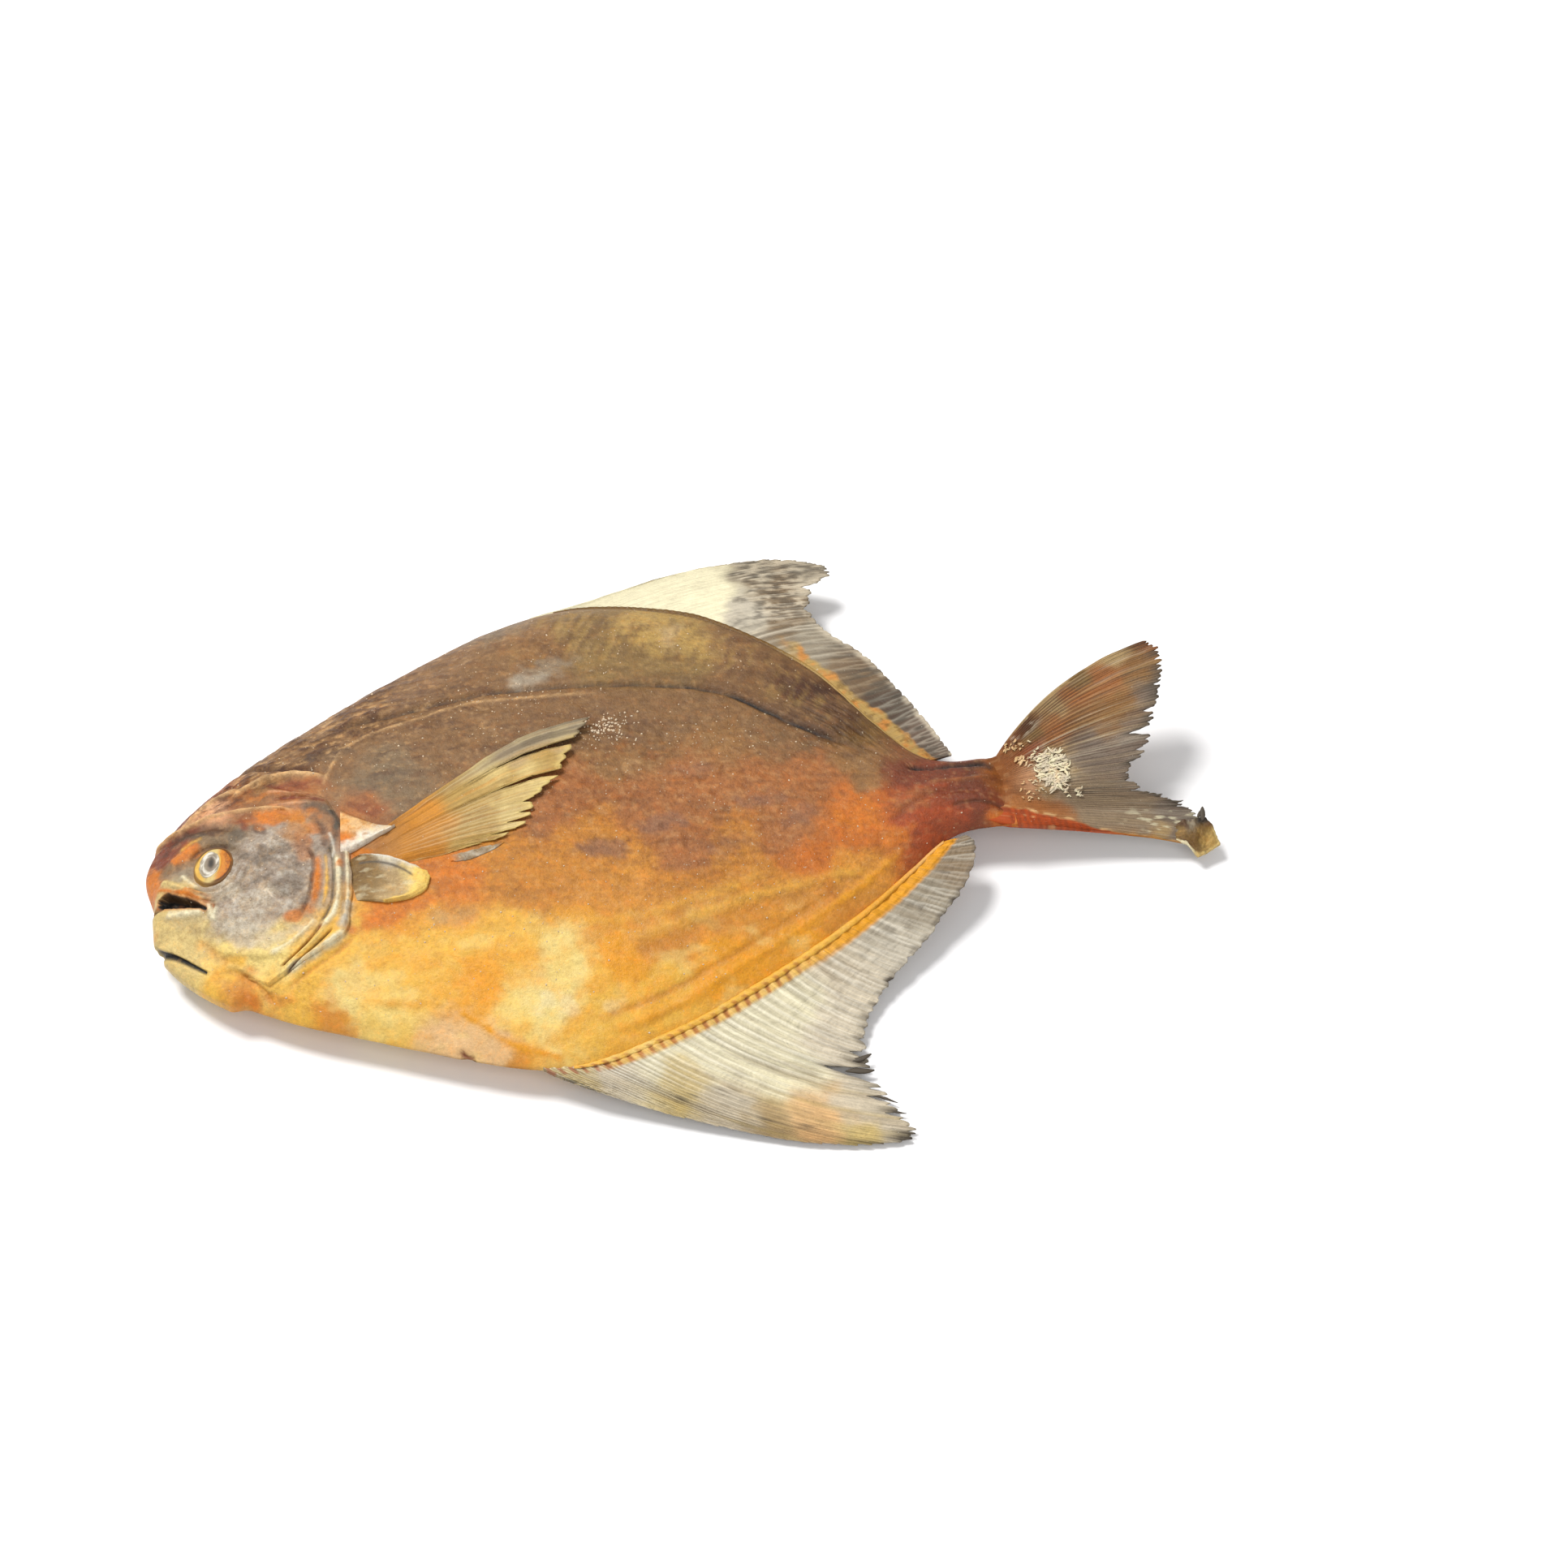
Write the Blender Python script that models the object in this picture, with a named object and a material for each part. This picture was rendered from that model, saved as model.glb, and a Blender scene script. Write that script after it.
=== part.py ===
"""A dried pomfret: one whole, deep and flat fish that was dried lying on its right side.

The body is a lens of smooth sections along a keel line. Its fins are thin wavy sheets with folded
rays and ragged margins, sunk into the body at their roots. The gill cover, eye, shoulder bone, lateral
line, tail flakes and the ribbed ropes along the fin bases stand proud of the skin. The mouth, the chin
slit and the gill slit are cut into it. Everything is one piece, so one Boolean union joins it all.

Fish frame, in millimetres: x runs from the snout to the tail, y from the keel towards the back fin,
z up from the surface that the fish lies on. The object's own frame, in metres, has its origin under
the middle of the outline.
"""

import math

import bmesh
import bpy
import numpy as np
from mathutils import Vector

MM = 0.001
MIDDLE_X = 148.2
MIDDLE_Y = -2.2

# Body, each profile as (station along the fish, value there) in millimetres
BODY_LENGTH = 240.0
BACK = ((0, 0), (3, 9.5), (15, 25), (41, 45), (74, 66), (100, 79.5), (122, 85), (142, 83), (163, 76),
        (189, 55), (206, 30), (216, 17), (226, 12.5), (240, 13))
BELLY = ((0, 0), (2, -9), (5, -22), (11, -31.5), (25, -43), (40, -51), (61, -59), (98, -72),
         (116, -73.5), (141, -65.5), (160, -56), (178, -45.5), (195, -34), (210, -22), (220, -14),
         (228, -11.5), (240, -13))
KEEL = ((0, 9), (60, 9), (150, 9), (190, 9.5), (215, 11), (240, 13.5))
RISE = ((0, 0), (2, 4), (8, 8), (20, 11.5), (40, 14), (70, 15.5), (105, 15.5), (140, 13.5), (170, 11),
        (195, 8.5), (215, 7), (228, 5.5), (236, 3), (240, 1))
DROP = ((0, 0), (2, 3), (8, 6), (20, 9), (40, 12), (105, 12.5), (140, 11.5), (170, 9.5), (195, 8),
        (215, 6.5), (228, 5), (236, 3), (240, 1))
PROFILE_SAMPLES = 400
LENS_POWER = 0.62
LENS_POWER_TO_BACK = 0.08
LENS_POWER_TO_BELLY = 0.14
BODY_STATIONS = 46
UPPER_SIDES = 24
LOWER_SIDES = 14
SNOUT_CROWDING = 1.6

# Fins: one row for each ray that sets the shape, (foot, tip x, tip y, tip z, bow) in millimetres. The
# foot is the ray's station along the back or the belly, or its y at the tail root and the shoulder.
# The bow is how far the ray swings out of a straight line.
BACK_FIN = ((104, 112, 84.5, 9, 0), (112, 130, 89, 9, 0.1), (118, 146, 93, 10, 0.2),
            (123, 163, 96.8, 10, 0.5), (129, 182, 97.3, 11, 1.9), (135, 196, 93.5, 12, 3.0),
            (142, 202, 89.5, 12, 3.2), (150, 198, 85, 12, 2.6), (160, 194, 79, 12, 1.8),
            (174, 195, 69, 12, 1.0), (188, 207, 55, 12, 0.5), (200, 214.5, 42, 12, 0),
            (208, 220, 31, 12, 0), (214, 224, 21, 12.5, 0), (219, 226, 14.5, 13, 0))
BELLY_FIN = ((104, 116, -79.5, 7, 0), (109, 134, -87, 4.5, 0.1), (114, 152, -93.5, 3, 0.6),
             (119, 172, -99.5, 1.8, 2.0), (124, 190, -102, 1.2, 3.8), (130, 200, -100.5, 1.2, 4.8),
             (137, 198, -95, 1.2, 4.6), (144, 194, -87, 1.4, 3.8), (151, 191, -80.5, 1.9, 3.0),
             (158, 190, -75, 2.4, 2.2), (166, 190.5, -68, 3, 1.6), (174, 194, -60.5, 3.8, 1.2),
             (182, 200, -53, 5, 0.6), (191, 208, -45.5, 6.5, 0), (201, 216, -37, 9, 0),
             (209, 223.5, -28.5, 11.5, 0), (215, 227.5, -19, 13.5, 0), (219, 225, -14, 13.5, 0))
TAIL_FIN = ((12, 288, 32, 30, 5.5), (9.5, 287.5, 25.5, 28, 4.5), (7, 283.5, 19, 25, 3.0),
            (5, 279, 12.5, 21, 2.0), (3, 274.5, 5, 18, 1.0), (1, 268, 0, 16, 0), (-1, 275, -4, 14, 0),
            (-3.5, 284, -7.5, 11.5, 0), (-6, 290, -10, 9, 0), (-8.5, 295.5, -13.5, 6, -0.5),
            (-10.5, 297, -20.5, 3, -1.0), (-12, 290, -22, 3, -1.5))
SIDE_FIN = ((-6.6, 124.7, 31.4, 0, 3.0), (-7.6, 121.5, 26.5, 0, 2.6), (-8.8, 117.5, 19, 0, 2.2),
            (-9.8, 113, 10.5, 0, 1.8), (-10.8, 107, 4, 0, 1.3), (-11.7, 105, -1.5, 0, 0.9),
            (-12.6, 100, -6.5, 0, 0.5), (-13.4, 90, -9.3, 0, 0.2), (-14, 79, -11.8, 0, 0))
# Tears in a fin's margin: (place along the fin, share of the ray that is left, half width along the fin)
BACK_FIN_TEARS = ((0.5, 0.88, 0.02), (0.58, 0.92, 0.02))
BELLY_FIN_TEARS = ((0.395, 0.93, 0.012), (0.425, 0.9, 0.012), (0.475, 0.7, 0.022), (0.53, 0.86, 0.014))
TAIL_FIN_TEARS = ((0.36, 0.9, 0.02), (0.47, 0.93, 0.02), (0.6, 0.9, 0.02), (0.74, 0.95, 0.02))
SIDE_FIN_TEARS = ((0.17, 0.66, 0.022), (0.33, 0.62, 0.022), (0.5, 0.94, 0.03), (0.6, 0.85, 0.025),
                  (0.72, 0.78, 0.025))
FIN_ROOT_DEPTH = 6.0
FIN_THICKNESS_FOOT = 1.5
FIN_THICKNESS_TIP = 0.7
FIN_ROWS = 4
RAY_FOLD = 0.3
RAGGED = 0.03
LOWEST_FIN = 0.15
CLOSEST_RAYS = 0.004
BACK_FIN_FOLDS = 17
BELLY_FIN_FOLDS = 21
TAIL_FIN_FOLDS = 14
SIDE_FIN_FOLDS = 9
TAIL_ROOT_X = 231.0
TAIL_FOOT_X = 238.0
TAIL_ROOT_WIDTH = 0.8
SIDE_FIN_FOOT_X = (57.0, 63.5)
SIDE_FIN_LIFT = 2.2
SIDE_FIN_THICKNESS = 0.9
SIDE_FIN_SETTLE = 0.4

# Curled flakes of skin at the tail root: (place along the fin, share of the ray, size in millimetres)
TAIL_FLAKES = ((0.42, 0.13, 2.0), (0.5, 0.3, 2.2), (0.56, 0.14, 1.8), (0.62, 0.32, 2.3), (0.7, 0.2, 2.0))
FLAKE_RADIUS = 0.6
FLAKE_TURN = 4.0
FLAKE_POINTS = 7

# Raised parts of the head and flank, as places on the skin in millimetres
GILL_EDGE = ((35, 18), (44, 16.3), (50.5, 13), (55, 4), (57, -6), (57.4, -16), (56.8, -25), (55.5, -31),
             (49, -35), (41, -38.5), (34, -41.5))
GILL_START = ((31, 14), (34, 11), (37, 7), (39, 1), (40, -6), (40, -14), (39, -21), (37, -27),
              (34, -31), (31, -35), (28, -38))
GILL_COVER_PROUD = 1.5
GILL_COVER_SUNK = 2.0
GILL_COVER_GRID = (18, 5)
PLATE_START_DEPTH = 0.4
PLATE_CURVE = 0.8
SHOULDER_BONE = ((55, 8), (58.5, 6), (63, 1.5), (68.5, -2.2))
SHOULDER_BONE_LOWER = ((55, -6.0), (58.5, -5.8), (63, -4.6), (68.5, -3.2))
SHOULDER_BONE_PROUD = 1.1
SHOULDER_BONE_SUNK = 1.5
SHOULDER_BONE_GRID = (6, 3)
EAR_FLAP_FOOT = ((57.5, -10.5), (57, -17), (58.5, -24.5))
EAR_FLAP_TIP = ((66, -10.2), (79, -18.5), (68, -26.5))
EAR_FLAP_PROUD = 1.6
EAR_FLAP_SUNK = 1.5
EAR_FLAP_GRID = (9, 5)
EYE_X = 19.9
EYE_Y = -4.1
EYE_RADIUS = 5.0
EYE_SIDES = 16
# The eye's turned profile from the hidden middle over the socket ring to the dome: (radius, height)
EYE_PROFILE = ((0, -3), (EYE_RADIUS, -3), (EYE_RADIUS + 0.6, -0.5), (EYE_RADIUS - 0.2, 0.75),
               (EYE_RADIUS - 1.2, 0.5), (EYE_RADIUS - 1.8, 0.1), (EYE_RADIUS - 2.6, 0.7),
               (EYE_RADIUS - 3.8, 1.0), (0, 1.05))
# Ridges: the line seen from above, then (radius, rings along it, sides)
LATERAL_LINE = ((51, 19), (53, 28), (57.5, 38.5), (67, 44.3), (88, 46.2), (112, 45.2), (135, 44.5),
                (159, 39.8), (175, 33), (190, 23), (206, 14), (222, 6))
LATERAL_LINE_SIZE = (0.55, 40, 4)
BROW = ((8.5, 9.5), (16.5, 13.8), (26, 14.2), (34, 12.5))
BROW_SIZE = (0.8, 12, 6)
UPPER_LIP = ((2, -8.2), (8, -10), (14, -12.2), (19.5, -15.5))
UPPER_LIP_SIZE = (0.9, 9, 6)
RIDGE_BEADING = 0.2
RIDGE_END = 0.06
# Ropes of ray roots along the fin bases
ROPE_RADIUS = 1.25
ROPE_SWELL = 0.35
ROPE_ABOVE_KEEL = 0.9
ROPE_END = 0.02
ROPE_SIDES = 6
BELLY_ROPE_SPAN = (112.0, 219.0)
BELLY_ROPE_TICKS = 36
BACK_ROPE_SPAN = (118.0, 219.0)
BACK_ROPE_TICKS = 28
END_TAPER = 0.33

# Cuts into the head, as outlines seen from above, in millimetres
MOUTH_UPPER = ((-4, -8.2), (3, -9.4), (9, -11.4), (17.5, -14.3))
MOUTH_LOWER = ((-4, -13.6), (3, -14.6), (9, -15.4), (17.5, -14.6))
MOUTH_HEIGHTS = (0.3, 40.0)
MOUTH_COLUMNS = 7
CHIN_SLIT_SPAN = (4.4, 17.5)
CHIN_SLIT_DEPTH = 3.2
CHIN_SLIT_REACH = 4.0
CHIN_SLIT_INNER = (9.2, 10.0)
CHIN_SLIT_OUTER = (8.0, 12.4)
CHIN_SLIT_COLUMNS = 6
GILL_SLIT_UPPER = ((52, -29.5), (48, -32.5), (43, -36.3), (39, -39.4))
GILL_SLIT_LOWER = ((52, -30.5), (48.4, -33.8), (43.6, -37.4), (39, -40))
GILL_SLIT_DEPTH = 2.0
GILL_SLIT_ABOVE = 5.0
GILL_SLIT_COLUMNS = 6

# Colours and gloss of the dried skin
SKIN_COLOUR = (0.42, 0.20, 0.07, 1.0)
SKIN_ROUGHNESS = 0.55
SHARP_EDGE = math.radians(40)
RANDOM_SEED = 7
MERGE_DISTANCE = 1e-6


def smooth_curve(knots, places):
    """Points of a smooth curve through the knots, at places from 0 to 1 along it.

    The place grows with the square root of the distance between knots. A count in place of the places
    spreads them evenly.
    """
    knots = np.asarray(knots, float)
    places = np.linspace(0, 1, places) if np.isscalar(places) else np.asarray(places, float)
    steps = np.sqrt(np.linalg.norm(np.diff(knots, axis=0), axis=1))
    mark = np.concatenate([[0.0], np.cumsum(steps)])
    slope = np.empty_like(knots)
    slope[1:-1] = (knots[2:] - knots[:-2]) / (mark[2:] - mark[:-2])[:, None]
    slope[0] = 2 * (knots[1] - knots[0]) / (mark[1] - mark[0]) - slope[1]
    slope[-1] = 2 * (knots[-1] - knots[-2]) / (mark[-1] - mark[-2]) - slope[-2]
    wanted = places * mark[-1]
    left = np.clip(np.searchsorted(mark, wanted, side="right") - 1, 0, len(knots) - 2)
    gap = (mark[left + 1] - mark[left])[:, None]
    w = (wanted - mark[left])[:, None] / gap
    return ((1 + 2 * w) * (1 - w) ** 2 * knots[left] + w * (1 - w) ** 2 * gap * slope[left]
            + w * w * (3 - 2 * w) * knots[left + 1] + w * w * (w - 1) * gap * slope[left + 1])


def profile(knots, x):
    """A profile's value at station x. It is smooth in the square root of x, so the snout is blunt."""
    knots = np.asarray(knots, float)
    line = smooth_curve(np.stack([np.sqrt(knots[:, 0]), knots[:, 1]], 1), PROFILE_SAMPLES)
    return np.interp(np.sqrt(np.maximum(x, 0)), line[:, 0], line[:, 1])


def lens(across):
    """Share of the full thickness across the body, from 1 at the back through 0 to -1 at the belly."""
    to_edge = np.where(across > 0, LENS_POWER_TO_BACK, LENS_POWER_TO_BELLY)
    return np.abs(1 - across**2) ** (LENS_POWER - to_edge * across)


def skin_top(x, y):
    """Height of the upper skin over the place x, y."""
    back, belly = profile(BACK, x), profile(BELLY, x)
    across = np.clip((y - (back + belly) / 2) / np.maximum((back - belly) / 2, MERGE_DISTANCE), -1, 1)
    return profile(KEEL, x) + profile(RISE, x) * lens(across)


def to_metres(points):
    """Fish-frame millimetres to the object's own frame in metres."""
    return (np.asarray(points, float) - (MIDDLE_X, MIDDLE_Y, 0.0)) * MM


def mesh_object(name, points, faces):
    """A mesh object from fish-frame points and faces, with its normals pointing out."""
    mesh = bpy.data.meshes.new(name)
    mesh.from_pydata(to_metres(points).tolist(), [], faces)
    shape = bmesh.new()
    shape.from_mesh(mesh)
    return closed_object(name, shape)


def closed_object(name, shape):
    """An object of a closed bmesh shape, with doubled points merged and its normals pointing out."""
    bmesh.ops.remove_doubles(shape, verts=shape.verts, dist=MERGE_DISTANCE)
    bmesh.ops.recalc_face_normals(shape, faces=shape.faces)
    mesh = bpy.data.meshes.new(name)
    shape.to_mesh(mesh)
    shape.free()
    made = bpy.data.objects.new(name, mesh)
    bpy.context.scene.collection.objects.link(made)
    return made


def sheet(name, middle, thickness):
    """A closed thin sheet about a grid of points: both faces split into triangles alike, and a rim."""
    rows, columns = middle.shape[:2]
    half = np.zeros_like(middle)
    half[..., 2] = thickness / 2
    upper, lower = middle + half, middle - half
    lift = np.maximum(LOWEST_FIN - lower[..., 2], 0)
    lower[..., 2] += lift
    upper[..., 2] += lift
    points = np.concatenate([upper.reshape(-1, 3), lower.reshape(-1, 3)])
    under = rows * columns
    faces = []
    for r in range(rows - 1):
        for c in range(columns - 1):
            a = r * columns + c
            b, d, e = a + 1, a + columns, a + columns + 1
            faces += [(a, b, e), (a, e, d)]
            faces += [(under + a, under + e, under + b), (under + a, under + d, under + e)]
    rim = list(range(columns))
    rim += [r * columns + columns - 1 for r in range(1, rows)]
    rim += [(rows - 1) * columns + c for c in range(columns - 2, -1, -1)]
    rim += [r * columns for r in range(rows - 2, 0, -1)]
    for here, there in zip(rim, rim[1:] + rim[:1]):
        faces += [(here, under + here, under + there), (here, under + there, there)]
    return mesh_object(name, points, faces)


def plate(name, start, edge, grid, proud, sunk):
    """A plate on the upper skin: it leaves the skin along one curve and stands proud of it at the other."""
    columns, rows = grid
    inner, outer = smooth_curve(start, columns), smooth_curve(edge, columns)
    share = np.linspace(0, 1, rows)[:, None, None]
    place = inner[None] * (1 - share) + outer[None] * share
    skin = skin_top(place[..., 0], place[..., 1])
    high = skin - PLATE_START_DEPTH + (proud + PLATE_START_DEPTH) * share[..., 0] ** PLATE_CURVE
    low = skin - sunk
    middle = np.dstack([place, (high + low) / 2])
    return sheet(name, middle, high - low)


def body():
    """The body: sections from the blunt snout to the tail root, flat where it lies."""
    upper = np.linspace(0, math.pi, UPPER_SIDES, endpoint=False)
    lower = np.linspace(math.pi, 2 * math.pi, LOWER_SIDES, endpoint=False)
    turn = np.concatenate([upper, lower])
    across, above = np.cos(turn), np.sin(turn) >= 0
    stations = BODY_LENGTH * (np.arange(1, BODY_STATIONS + 1) / BODY_STATIONS) ** SNOUT_CROWDING
    back, belly = profile(BACK, stations)[:, None], profile(BELLY, stations)[:, None]
    y = (back + belly) / 2 + (back - belly) / 2 * across
    half = np.where(above, profile(RISE, stations)[:, None], -profile(DROP, stations)[:, None])
    z = np.maximum(profile(KEEL, stations)[:, None] + half * lens(across), 0)
    x = np.repeat(stations[:, None], len(turn), 1)
    points = [(0.0, 0.0, KEEL[0][1])] + np.stack([x, y, z], -1).reshape(-1, 3).tolist()
    around = len(turn)
    faces = [(0, 1 + (k + 1) % around, 1 + k) for k in range(around)]
    for s in range(BODY_STATIONS - 1):
        for k in range(around):
            here, beside = 1 + s * around + k, 1 + s * around + (k + 1) % around
            faces.append((here, beside, beside + around, here + around))
    faces.append(tuple(1 + (BODY_STATIONS - 1) * around + k for k in range(around)))
    return mesh_object("pomfret", points, faces)


def ray_grid(rays, tears, folds, rng):
    """A fin's rays as rows of points from foot to tip, with their folds and places.

    The rays are a table of (foot x, y, z, tip x, y, z, bow). Each ray is bowed to one side, and torn off
    at the margin.
    """
    places = np.linspace(0, 1, 2 * folds + 1)
    marks = [place + side * half for place, _, half in tears for side in (-1, 0, 1)]
    places = np.unique(np.concatenate([places, np.clip(marks, 0, 1)]))
    places = places[np.concatenate([[True], np.diff(places) > CLOSEST_RAYS])]
    foot, tip, bow = np.split(smooth_curve(rays, places), (3, 6), axis=1)
    left = 1 - RAGGED * rng.uniform(0, 1, len(places))
    for place, share, half in tears:
        notch = 1 - (1 - share) * np.maximum(0, 1 - np.abs(places - place) / half)
        left = np.where(notch < 1, notch, left)
    left[0] = left[-1] = 1
    ray = tip - foot
    aside = ray[:, [1, 0, 2]] * (-1, 1, 0) / np.linalg.norm(ray[:, :2], axis=1, keepdims=True)
    share = np.linspace(0, 1, FIN_ROWS + 1)[:, None] * left[None]
    rows = foot[None] + share[..., None] * ray[None]
    rows = rows + (4 * share * (1 - share))[..., None] * (bow * aside)[None]
    wave = 1 - 4 * np.abs((places * folds) % 1 - 0.5)
    return rows, RAY_FOLD * wave[None] * np.minimum(1, 3 * share), places


def fin_sheet(name, middle):
    """A fin as a closed sheet about its rows of points, thinning from its root to its margin."""
    thickness = np.linspace(FIN_THICKNESS_FOOT, FIN_THICKNESS_TIP, len(middle))
    return sheet(name, middle, thickness[:, None] + 0 * middle[..., 0])


def edge_fin(name, rays, tears, outline, folds, rng):
    """A fin along the back or the belly: its feet are on that outline, its root is sunk into the body."""
    rays = np.asarray(rays, float)
    x, tip, bow = rays[:, 0], rays[:, 1:4], rays[:, 4]
    y = profile(outline, x)
    table = np.column_stack([x, y, profile(KEEL, x), tip, bow * np.sign(y)])
    rows, fold, _ = ray_grid(table, tears, folds, rng)
    rows[..., 2] += fold
    root = rows[:1].copy()
    root[..., 1] -= np.sign(y[0]) * np.minimum(FIN_ROOT_DEPTH, 0.5 * np.abs(root[..., 1]))
    return fin_sheet(name, np.concatenate([root, rows]))


def tail_rays():
    """The tail fin's rays as (foot x, y, z, tip x, y, z, bow). All their feet are at the tail root."""
    rays = np.asarray(TAIL_FIN, float)
    foot_x = np.full(len(rays), TAIL_FOOT_X)
    return np.column_stack([foot_x, rays[:, 0], profile(KEEL, foot_x), rays[:, 1:]])


def tail_fin(rng):
    """The forked tail fin, its upper lobe raised and its lower lobe down near the surface."""
    rows, fold, _ = ray_grid(tail_rays(), TAIL_FIN_TEARS, TAIL_FIN_FOLDS, rng)
    rows[..., 2] += fold
    root = rows[:1] * (0, TAIL_ROOT_WIDTH, 1) + (TAIL_ROOT_X, 0, 0)
    return fin_sheet("tail_fin", np.concatenate([root, rows]))


def tail_flake(place, share, size, rng):
    """A curled flake of skin: a thin cord along most of a circle, standing on the tail fin's foot."""
    foot, tip, _ = np.split(smooth_curve(tail_rays(), [place]), (3, 6), axis=1)
    turn = rng.uniform(0, 2 * math.pi) + np.linspace(0, FLAKE_TURN, FLAKE_POINTS)
    ring = size * np.stack([np.cos(turn), np.sin(turn), 0 * turn], 1)
    path = foot + share * (tip - foot) + ring + (0, 0, FIN_THICKNESS_FOOT / 2)
    return bead("tail_flake", path, np.full(FLAKE_POINTS, FLAKE_RADIUS), 4)


def side_fin(rng):
    """The split side fin, which lies back along the flank and lifts off it towards its tip."""
    rays = np.asarray(SIDE_FIN, float)
    foot_x = np.linspace(*SIDE_FIN_FOOT_X, len(rays))
    table = np.column_stack([foot_x, rays[:, 0], 0 * foot_x, rays[:, 1:]])
    rows, fold, places = ray_grid(table, SIDE_FIN_TEARS, SIDE_FIN_FOLDS, rng)
    away = np.linalg.norm(rows - rows[:1], axis=2)
    away = away / away.max()
    sunk = SIDE_FIN_THICKNESS / 2
    rows[..., 2] = skin_top(rows[..., 0], rows[..., 1]) - sunk + fold / 2
    rows[..., 2] += (SIDE_FIN_LIFT + sunk) * away * (1 - SIDE_FIN_SETTLE * places)
    return sheet("side_fin", rows, SIDE_FIN_THICKNESS + 0 * rows[..., 0])


def bead(name, path, radii, sides):
    """A beaded cord along a path: a bevelled curve whose radius changes from point to point."""
    curve = bpy.data.curves.new(name, "CURVE")
    curve.dimensions = "3D"
    curve.bevel_depth = MM
    curve.bevel_resolution = (sides - 4) // 2
    curve.use_fill_caps = True
    spline = curve.splines.new("POLY")
    spline.points.add(len(path) - 1)
    for point, place, radius in zip(spline.points, to_metres(path), radii):
        point.co = (*place, 1.0)
        point.radius = radius
    drawn = bpy.data.objects.new(name + "_line", curve)
    bpy.context.scene.collection.objects.link(drawn)
    shape = bmesh.new()
    shape.from_mesh(evaluated_mesh(drawn))
    bpy.data.objects.remove(drawn)
    return closed_object(name, shape)


def end_taper(share, end):
    """How full a ridge is along its length: 1 in the middle, and thin at both ends."""
    return np.sin(math.pi * np.clip(share, end, 1 - end)) ** END_TAPER


def beading(count):
    """1 at every second point of a beaded cord and -1 at the others."""
    return np.where(np.arange(count) % 2, 1, -1)


def rope(name, outline, span, ticks):
    """The ribbed rope of ray roots along a fin's base, with one swelling for each ray."""
    share = np.linspace(0, 1, 2 * ticks + 1)
    x = span[0] + (span[1] - span[0]) * share
    path = np.stack([x, profile(outline, x), profile(KEEL, x) + ROPE_ABOVE_KEEL], 1)
    radii = ROPE_RADIUS * end_taper(share, ROPE_END) * (1 + ROPE_SWELL * beading(len(x)))
    return bead(name, path, radii, ROPE_SIDES)


def ridge(name, line, size):
    """A rounded and lightly beaded ridge on the upper skin, along a line seen from above."""
    radius, rings, sides = size
    place = smooth_curve(line, rings)
    path = np.column_stack([place, skin_top(place[:, 0], place[:, 1])])
    taper = end_taper(np.linspace(0, 1, rings), RIDGE_END)
    return bead(name, path, radius * taper * (1 + RIDGE_BEADING * beading(rings)), sides)


def eye():
    """The eye: a turned profile with a raised socket ring, a groove and a low dome over the pupil."""
    place = np.array([(EYE_X, EYE_Y), (EYE_X + EYE_RADIUS, EYE_Y), (EYE_X, EYE_Y + EYE_RADIUS)])
    level, beside, behind = skin_top(place[:, 0], place[:, 1])
    tilt_x, tilt_y = (beside - level) / EYE_RADIUS, (behind - level) / EYE_RADIUS
    middle = Vector(to_metres((EYE_X, EYE_Y, level)).tolist())
    shape = bmesh.new()
    chain = [shape.verts.new((r * MM, 0, h * MM)) for r, h in EYE_PROFILE]
    edges = [shape.edges.new(pair) for pair in zip(chain, chain[1:])]
    bmesh.ops.spin(shape, geom=chain + edges, axis=(0, 0, 1), cent=(0, 0, 0), angle=2 * math.pi,
                   steps=EYE_SIDES)
    for vert in shape.verts:
        vert.co.z += tilt_x * vert.co.x + tilt_y * vert.co.y
        vert.co += middle
    return closed_object("eye", shape)


def cutter(name, first, second, columns, low, high):
    """A cutter between two curves seen from above, with its heights given along both curves."""
    place = np.stack([smooth_curve(first, columns), smooth_curve(second, columns)])
    low, high = np.broadcast_to(low, place.shape[:2]), np.broadcast_to(high, place.shape[:2])
    made = sheet(name, np.dstack([place, (low + high) / 2]), high - low)
    made.hide_render = True
    made.display_type = "WIRE"
    return made


def mouth_cutter():
    """The open mouth, which runs through the head from one side to the other."""
    return cutter("mouth", MOUTH_UPPER, MOUTH_LOWER, MOUTH_COLUMNS, *MOUTH_HEIGHTS)


def chin_slit_cutter():
    """The slit between the two lower jaws. It follows the chin's outline and opens outwards."""
    x = np.linspace(*CHIN_SLIT_SPAN, CHIN_SLIT_COLUMNS)
    chin = profile(BELLY, x)
    inside = np.stack([x + CHIN_SLIT_DEPTH, chin], 1)
    outside = np.stack([x - CHIN_SLIT_REACH, chin - CHIN_SLIT_REACH], 1)
    low, high = np.transpose([CHIN_SLIT_INNER, CHIN_SLIT_OUTER])[..., None]
    return cutter("chin_slit", inside, outside, CHIN_SLIT_COLUMNS, low, high)


def gill_slit_cutter():
    """The slit behind the throat, a shallow groove in the skin under the gill cover's lower end."""
    place = np.stack([smooth_curve(side, GILL_SLIT_COLUMNS) for side in (GILL_SLIT_UPPER, GILL_SLIT_LOWER)])
    skin = skin_top(place[..., 0], place[..., 1])
    return cutter("gill_slit", GILL_SLIT_UPPER, GILL_SLIT_LOWER, GILL_SLIT_COLUMNS, skin - GILL_SLIT_DEPTH,
                  skin + GILL_SLIT_ABOVE)


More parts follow.
